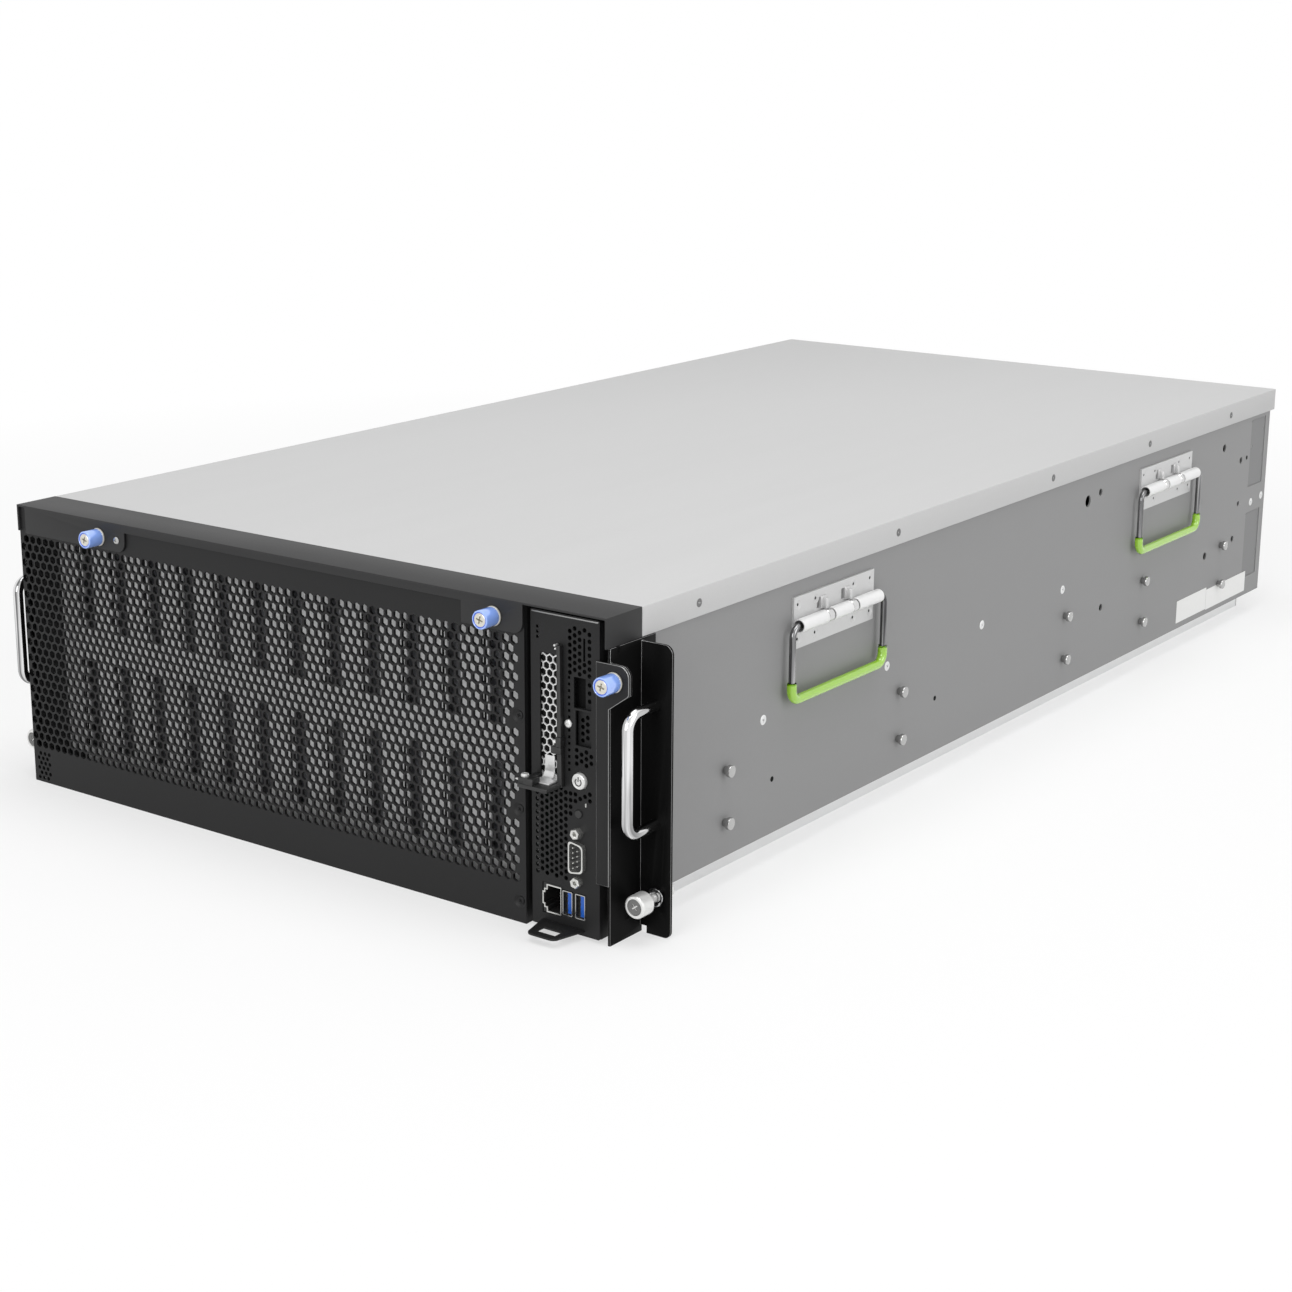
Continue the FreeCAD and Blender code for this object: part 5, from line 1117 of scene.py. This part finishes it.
# Serial connector: a plated D-shaped shell round a black insert with nine pins, between two hex standoffs.
# The shell is drawn from thin steel, and the standoffs hold it to the face.
shell_bright = finish_of("shell bright", worn, (0.6, 0.6, 0.58), (0.72, 0.72, 0.7), (0.15, 0.28),
                         (0.03, 0.0001), Metallic=0.9)
shell_loops = [connector_outline(grow=0.0002), connector_outline(grow=-0.0006)]
shell_mesh = punched("serial_shell", shell_loops, (), thick=0.0042, back=face_back, paint=shell_bright)
shell = fitted("serial_shell", smoothed(shell_mesh), shell_bright, "control_module", "serial_port")
insert_loops = [connector_outline(grow=-0.0006)]
insert_mesh = punched("serial_insert", insert_loops, (), thick=0.0005, back=face_back,
                      paint=black_plastic)
insert_box = (at(0.1965, face_back, 0.029), at(0.2075, face_back + 0.009, 0.06))
with_boxes(insert_mesh, [insert_box], round_edges=0.0004)
insert = fitted("serial_insert", insert_mesh, black_plastic, "control_module")
pin_profile = [(0, 0), (0.0005, 0), (0.0005, 0.0034), (0.0003, 0.0038), (0, 0.0039)]
pin_pitch = 0.00277
pin_places = [at(x, face_back - 0.0004, serial_z + pin_pitch * (pin - (count - 1) / 2))
              for x, count in ((0.2004, 5), (0.2032, 4)) for pin in range(count)]
pins = fitted_copies("serial_pins", turned("pin", pin_profile, steps=10), pin_places, to_front, shell_bright,
                     "control_module")
standoff_profile = [(0, -0.0005), (0.0031, -0.0005), (0.0031, 0.0034), (0.0027, 0.004), (0.0017, 0.004),
                    (0.0013, 0.0036), (0.0013, 0.0008), (0, 0.0008)]
standoff_places = [at(serial_x, face_front, z) for z in (0.0578, 0.0312)]
standoffs = fitted_copies("serial_standoffs", turned("standoff", standoff_profile, steps=6), standoff_places,
                          to_front, shell_bright, "control_module")

# Network socket: a plated shell with a stepped mouth, a black insert and eight spring contacts.
# The shell is thin sheet round the moulded insert, and the contacts are gold plated.


def stepped(grow, right):
    """The socket's mouth, with the steps for a plug's latch at its left."""
    upper = [(right, 0.0245 + grow), (0.1819 - grow, 0.0245 + grow), (0.1819 - grow, 0.0221 + grow),
             (0.1803 - grow, 0.0221 + grow), (0.1803 - grow, 0.0203 + grow), (0.1792 - grow, 0.0203 + grow)]
    return upper + [(x, 0.0348 - z) for x, z in upper[::-1]]


mouth = stepped(grow=0, right=0.1904)
socket_loops = [stepped(grow=0.0007, right=0.1908), mouth]
socket_mesh = punched("network_shell", socket_loops, (), thick=0.0008, back=0.0034, paint=shell_bright)
socket = fitted("network_shell", socket_mesh, shell_bright, "control_module", "network_port")
inside_loops = [oblong(0.1786, 0.1906, 0.0093, 0.0255), mouth]
inside_mesh = punched("network_insert", inside_loops, (), thick=0.0136, back=0.017, paint=black_plastic)
with_boxes(inside_mesh, [(at(0.1786, 0.0168, 0.0093), at(0.1906, 0.021, 0.0255))], round_edges=0.0003)
inside = fitted("network_insert", inside_mesh, black_plastic, "control_module")
gold = finish_of("contact gold", worn, (0.6, 0.42, 0.12), (0.75, 0.55, 0.2), (0.2, 0.3), (0.02, 0.0001),
                 Metallic=1.0)
contact_box = (Vector((-0.0002, -0.0002, -0.004)), Vector((0.0002, 0.0002, 0.004)))
contact = with_boxes(bpy.data.meshes.new("contact"), [contact_box], round_edges=0.0001)
contact_pitch = 0.00102
contact_places = [at(0.1884, 0.0105, 0.0138 + contact_pitch * pin) for pin in range(8)]
fitted_copies("network_contacts", contact, contact_places, to_front, gold, "control_module", spin=0.0)

# USB sockets: two plated shells folded from sheet, each with a blue tongue, black bars of painted shade
# for its contact slots and a black block of painted shade in the cavity beside the tongue.
# They stand upright beside the network socket, and their tongues are moulded plastic.
tongue_blue = finish_of("tongue blue", worn, (0.003, 0.07, 0.4), (0.008, 0.11, 0.5), (0.3, 0.42),
                        (0.03, 0.0001))
usb_loops = []
tongue_boxes = []
slot_and_shade_boxes = []
for x in usb_places:
    usb_loops += [rounded(x - 0.0032, x + 0.0032, 0.0106, 0.0242, radius=0.0006),
                  rounded(x - 0.0027, x + 0.0027, 0.0111, 0.0237, radius=0.0004)]
    tongue_boxes.append((at(x - 0.0004, 0.0034, 0.0117), at(x + 0.0022, 0.017, 0.0231)))
    # Black bars and blocks: painted shade in the contact slots and in the cavity beside each tongue.
    slot_and_shade_boxes.append((at(x - 0.0027, 0.0058, 0.0111), at(x - 0.0004, 0.021, 0.0237)))
    slot_and_shade_boxes += [(at(x - 0.0007, 0.0033, z - 0.0006), at(x - 0.0001, 0.012, z + 0.0006))
                   for z in (0.0135, 0.0161, 0.0187, 0.0213)]
usb_mesh = punched("usb_shells", usb_loops, (), thick=0.0184, back=0.021, paint=nickel)
usb_shells = fitted("usb_shells", smoothed(usb_mesh), nickel, "control_module", "usb_ports")
tongue_mesh = with_boxes(bpy.data.meshes.new("usb_tongues"), tongue_boxes, round_edges=0.0002)
tongues = fitted("usb_tongues", smoothed(tongue_mesh), tongue_blue, "control_module")
slot_and_shade_mesh = with_boxes(bpy.data.meshes.new("usb_slots"), slot_and_shade_boxes, round_edges=0.0001)
usb_slots = fitted("usb_slots", slot_and_shade_mesh, black_plastic, "control_module")

# Pull tab: a black steel tongue with a finger slot, welded under the ports.
# It is coated like the face, and the module is pulled out by it.
tab_mesh = softened("module_pull_tab", width=0.0004)
tab = fitted("pull_tab", tab_mesh, black_coat, "control_module", "module_pull_tab")

# Module tray and board: bright sheet that slides under the cover, with the mainboard, two heat sinks,
# memory modules and rows of capacitors on it.
board_green = finish_of("board green", worn, (0.006, 0.04, 0.018), (0.012, 0.06, 0.028), (0.35, 0.5),
                        (0.05, 0.0001))
sink_metal = finish_of("sink metal", rolled, (0.45, 0.45, 0.46), (0.58, 0.58, 0.59), (0.3, 0.42),
                       (0.05, 0.0001), Metallic=0.9)
dressed(bright_zinc, "module_tray")
dressed(board_green, "mainboard", "backplane", "power_board", "memory_modules")
dressed(sink_metal, "heatsinks")
board_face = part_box("mainboard")[1].x
can_profile = [(0, 0), (0.0034, 0), (0.0034, 0.0006), (0.003, 0.001), (0.003, 0.0075), (0.0027, 0.008),
               (0, 0.008)]
can_pitch = 0.011
can_places = [at(board_face, 0.09 + can_pitch * index, z) for index in range(8) for z in (0.028, 0.136)]
can_silver = finish_of("can silver", worn, (0.5, 0.5, 0.52), (0.62, 0.62, 0.64), (0.2, 0.32),
                       (0.03, 0.0001), Metallic=0.8)
fitted_copies("board_capacitors", turned("can", can_profile, steps=16), can_places, to_right, can_silver,
              "control_module")
chip_sizes = ((0.03, 0.06, 0.022, 0.022, 0.002), (0.06, 0.1, 0.014, 0.014, 0.0016),
              (0.06, 0.04, 0.012, 0.02, 0.0016), (0.385, 0.06, 0.03, 0.006, 0.009),
              (0.385, 0.09, 0.03, 0.006, 0.009), (0.365, 0.12, 0.012, 0.012, 0.0016))
chip_boxes = [(at(board_face, y, z), at(board_face + deep, y + long, z + tall))
              for y, z, long, tall, deep in chip_sizes]
chip_mesh = with_boxes(bpy.data.meshes.new("board_chips"), chip_boxes, round_edges=0.0003)
chips = fitted("board_chips", smoothed(chip_mesh), black_plastic, "control_module")

# Hard drives: cast metal cases standing in their columns, each with a black pull strap clipped on its top.
# There are sixty of them in five rows of twelve, and the straps are moulded plastic.
drive_metal = finish_of("drive metal", worn, (0.36, 0.36, 0.38), (0.5, 0.5, 0.52), (0.3, 0.45), (0.1, 0.0002),
                        Metallic=0.8)
dressed(drive_metal, "hard_drives")
drive_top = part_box("hard_drives")[1].z
first_row = 0.0823
row_pitch = 0.1153
drive_rows = [first_row + row_pitch * row for row in range(5)]
strap_boxes = [(Vector((-0.0045, -0.03, 0)), Vector((0.0045, 0.03, 0.0012))),
               (Vector((-0.003, -0.012, 0.001)), Vector((0.003, 0.012, 0.003)))]
strap = smoothed(with_boxes(bpy.data.meshes.new("strap"), strap_boxes, round_edges=0.0004))
strap_places = [at(x, y, drive_top) for x in column_places for y in drive_rows]
straps = fitted_copies("drive_straps", strap, strap_places, to_top, black_plastic, "chassis", spin=0.0)

# Rear panel and fans: zinc-coated sheet with four fan openings. Each fan is a black moulded frame and
# rotor behind a wire finger guard, fixed with four screws.
dressed(galvanised, "rear_panel", "supply_cage")
frames = fitted("fan_housings", softened("fan_frames", width=0.0005), black_plastic, "chassis", "fan_frames")
rear_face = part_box("rear_panel")[1].y - front
guard_profile = [(0.0009, 0.0), (0.00064, 0.00064), (0.0, 0.0009), (-0.00064, 0.00064), (-0.0009, 0.0),
                 (-0.00064, -0.00064), (0.0, -0.0009), (0.00064, -0.00064)]
blade_lift = 0.0008
fan_places = []
for number in range(1, 5):
    body = f"fan_rotor_{number}"
    low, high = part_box(body)
    fan_places.append(((low.x + high.x) / 2, (low.z + high.z) / 2 - blade_lift))
    rotor = fitted(f"rotor_{number}", softened(body, width=0.0004), black_plastic, body, body)
guard_wire = 0.0009
guard_mesh = bpy.data.meshes.new("guard_ring_set")
guard_corners = []
guard_faces = []
for ring in (0.012, 0.02, 0.028, 0.036):
    profile = [(ring + out, up + guard_wire) for out, up in guard_profile]
    places, faces = lathe(profile, steps=40, closed=True)
    guard_faces += [tuple(corner + len(guard_corners) for corner in face) for face in faces]
    guard_corners += places
guard_mesh.from_pydata(guard_corners, [], guard_faces)
guard_places = [at(x, rear_face, z) for x, z in fan_places]
guard_shape = smoothed(guard_mesh, degrees=60)
guards = fitted_copies("finger_guards", guard_shape, guard_places, to_back, nickel, "chassis", spin=0.0)
fan_screw_out = 0.041
corner_places = [at(x + dx, rear_face, z + dz) for x, z in fan_places
                 for dx in (-fan_screw_out, fan_screw_out) for dz in (-fan_screw_out, fan_screw_out)]
edge_places = [at(x, rear_face, z) for x in (-0.212, 0.212) for z in (0.03, 0.09, 0.15)]
rear_screw_places = corner_places + edge_places
rear_screws = fitted_copies("rear_screws", flush_head, rear_screw_places, to_back, nickel, "chassis")

# Power supplies: bright sheet cases whose rear is punched for air, with a mains inlet of three blades,
# a green release latch and a wire pull handle. They slide out to the rear.
dressed(bright_zinc, "power_supply_1", "power_supply_2")


def rear_sheet(name, loops, fields, thick, outer_y, paint):
    """Sheet that faces the rear, drawn as seen from there."""
    mesh = punched(name, loops, fields, thick, thick - outer_y - front * 2, paint)
    mesh.transform(Matrix.Rotation(math.pi, 4, "Z"))
    return mesh


latch_green = finish_of("latch green", worn, (0.02, 0.3, 0.08), (0.03, 0.38, 0.1), (0.3, 0.42),
                        (0.03, 0.0001))
for index in (1, 2):
    body = f"power_supply_{index}"
    low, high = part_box(body)
    inlet_left = low.x + 0.0415
    middle_z = (low.z + high.z) / 2
    loops = [oblong(-high.x + 0.0006, -low.x - 0.0006, low.z + 0.0006, high.z - 0.0006),
             oblong(-inlet_left - 0.0245, -inlet_left + 0.0005, middle_z - 0.009, middle_z + 0.009)]
    loops += [circle(-low.x - 0.01, z, radius=0.0026) for z in (middle_z - 0.0118, middle_z + 0.0118)]
    beside = {"Left": -high.x + 0.0374, "Low": low.z + 0.004, "Columns": 9, "Rows": 10, "Pitch": 0.0043,
              "Step": 0.0037, "Stagger": 0.5, "Radius": 0.0018, "Corners": 6, "Turn": math.pi / 6,
              "Clearance": 0.0024}
    below = dict(beside, Left=-high.x + 0.003, Columns=8, Rows=2)
    above = dict(below, Low=low.z + 0.0336)
    vent_mesh = rear_sheet(f"supply_rear_{index}", loops, (beside, below, above), thick=0.0008,
                           outer_y=rear_face + 0.0009, paint=bright_zinc)
    vent = fitted(f"supply_rear_{index}", vent_mesh, bright_zinc, body)
    # A thin black sheet just inside the rear: painted shade seen through the vents and the inlet's opening.
    supply_shade_mesh = rear_sheet(f"supply_dark_{index}", loops[:2], (), thick=0.0001,
                           outer_y=rear_face + 0.00008, paint=shade_black)
    dark = fitted(f"supply_dark_{index}", supply_shade_mesh, shade_black, body)
    inlet_boxes = [(at(inlet_left + 0.0004, rear_face - 0.0165, middle_z - 0.0081),
                    at(inlet_left + 0.0236, rear_face - 0.0145, middle_z + 0.0081))]
    inlet_boxes += [(at(inlet_left + 0.0115 + dx, rear_face - 0.015, middle_z + dz),
                     at(inlet_left + 0.0129 + dx, rear_face - 0.003, middle_z + dz + 0.004))
                    for dx, dz in ((-0.007, -0.004), (0.007, -0.004), (0.0, 0.001))]
    inlet_mesh = smoothed(with_boxes(bpy.data.meshes.new("inlet"), inlet_boxes, round_edges=0.0002))
    inlet = fitted(f"supply_inlet_{index}", inlet_mesh, black_plastic, body)
    latch_left = low.x + 0.0255
    latch_right = low.x + 0.033
    latch_low = low.z + 0.012
    latch_boxes = [(at(latch_left, rear_face + 0.0005, latch_low),
                    at(latch_right, rear_face + 0.0035, low.z + 0.028)),
                   (at(latch_left, rear_face + 0.0025, latch_low),
                    at(latch_right, rear_face + 0.0095, low.z + 0.0145))]
    latch_mesh = smoothed(with_boxes(bpy.data.meshes.new("latch"), latch_boxes, round_edges=0.0006))
    latch = fitted(f"supply_latch_{index}", latch_mesh, latch_green, body)
    pull_mesh = softened(f"power_supply_handle_{index}", width=0.0003)
    pull = fitted(f"supply_pull_{index}", pull_mesh, nickel, body, f"power_supply_handle_{index}")
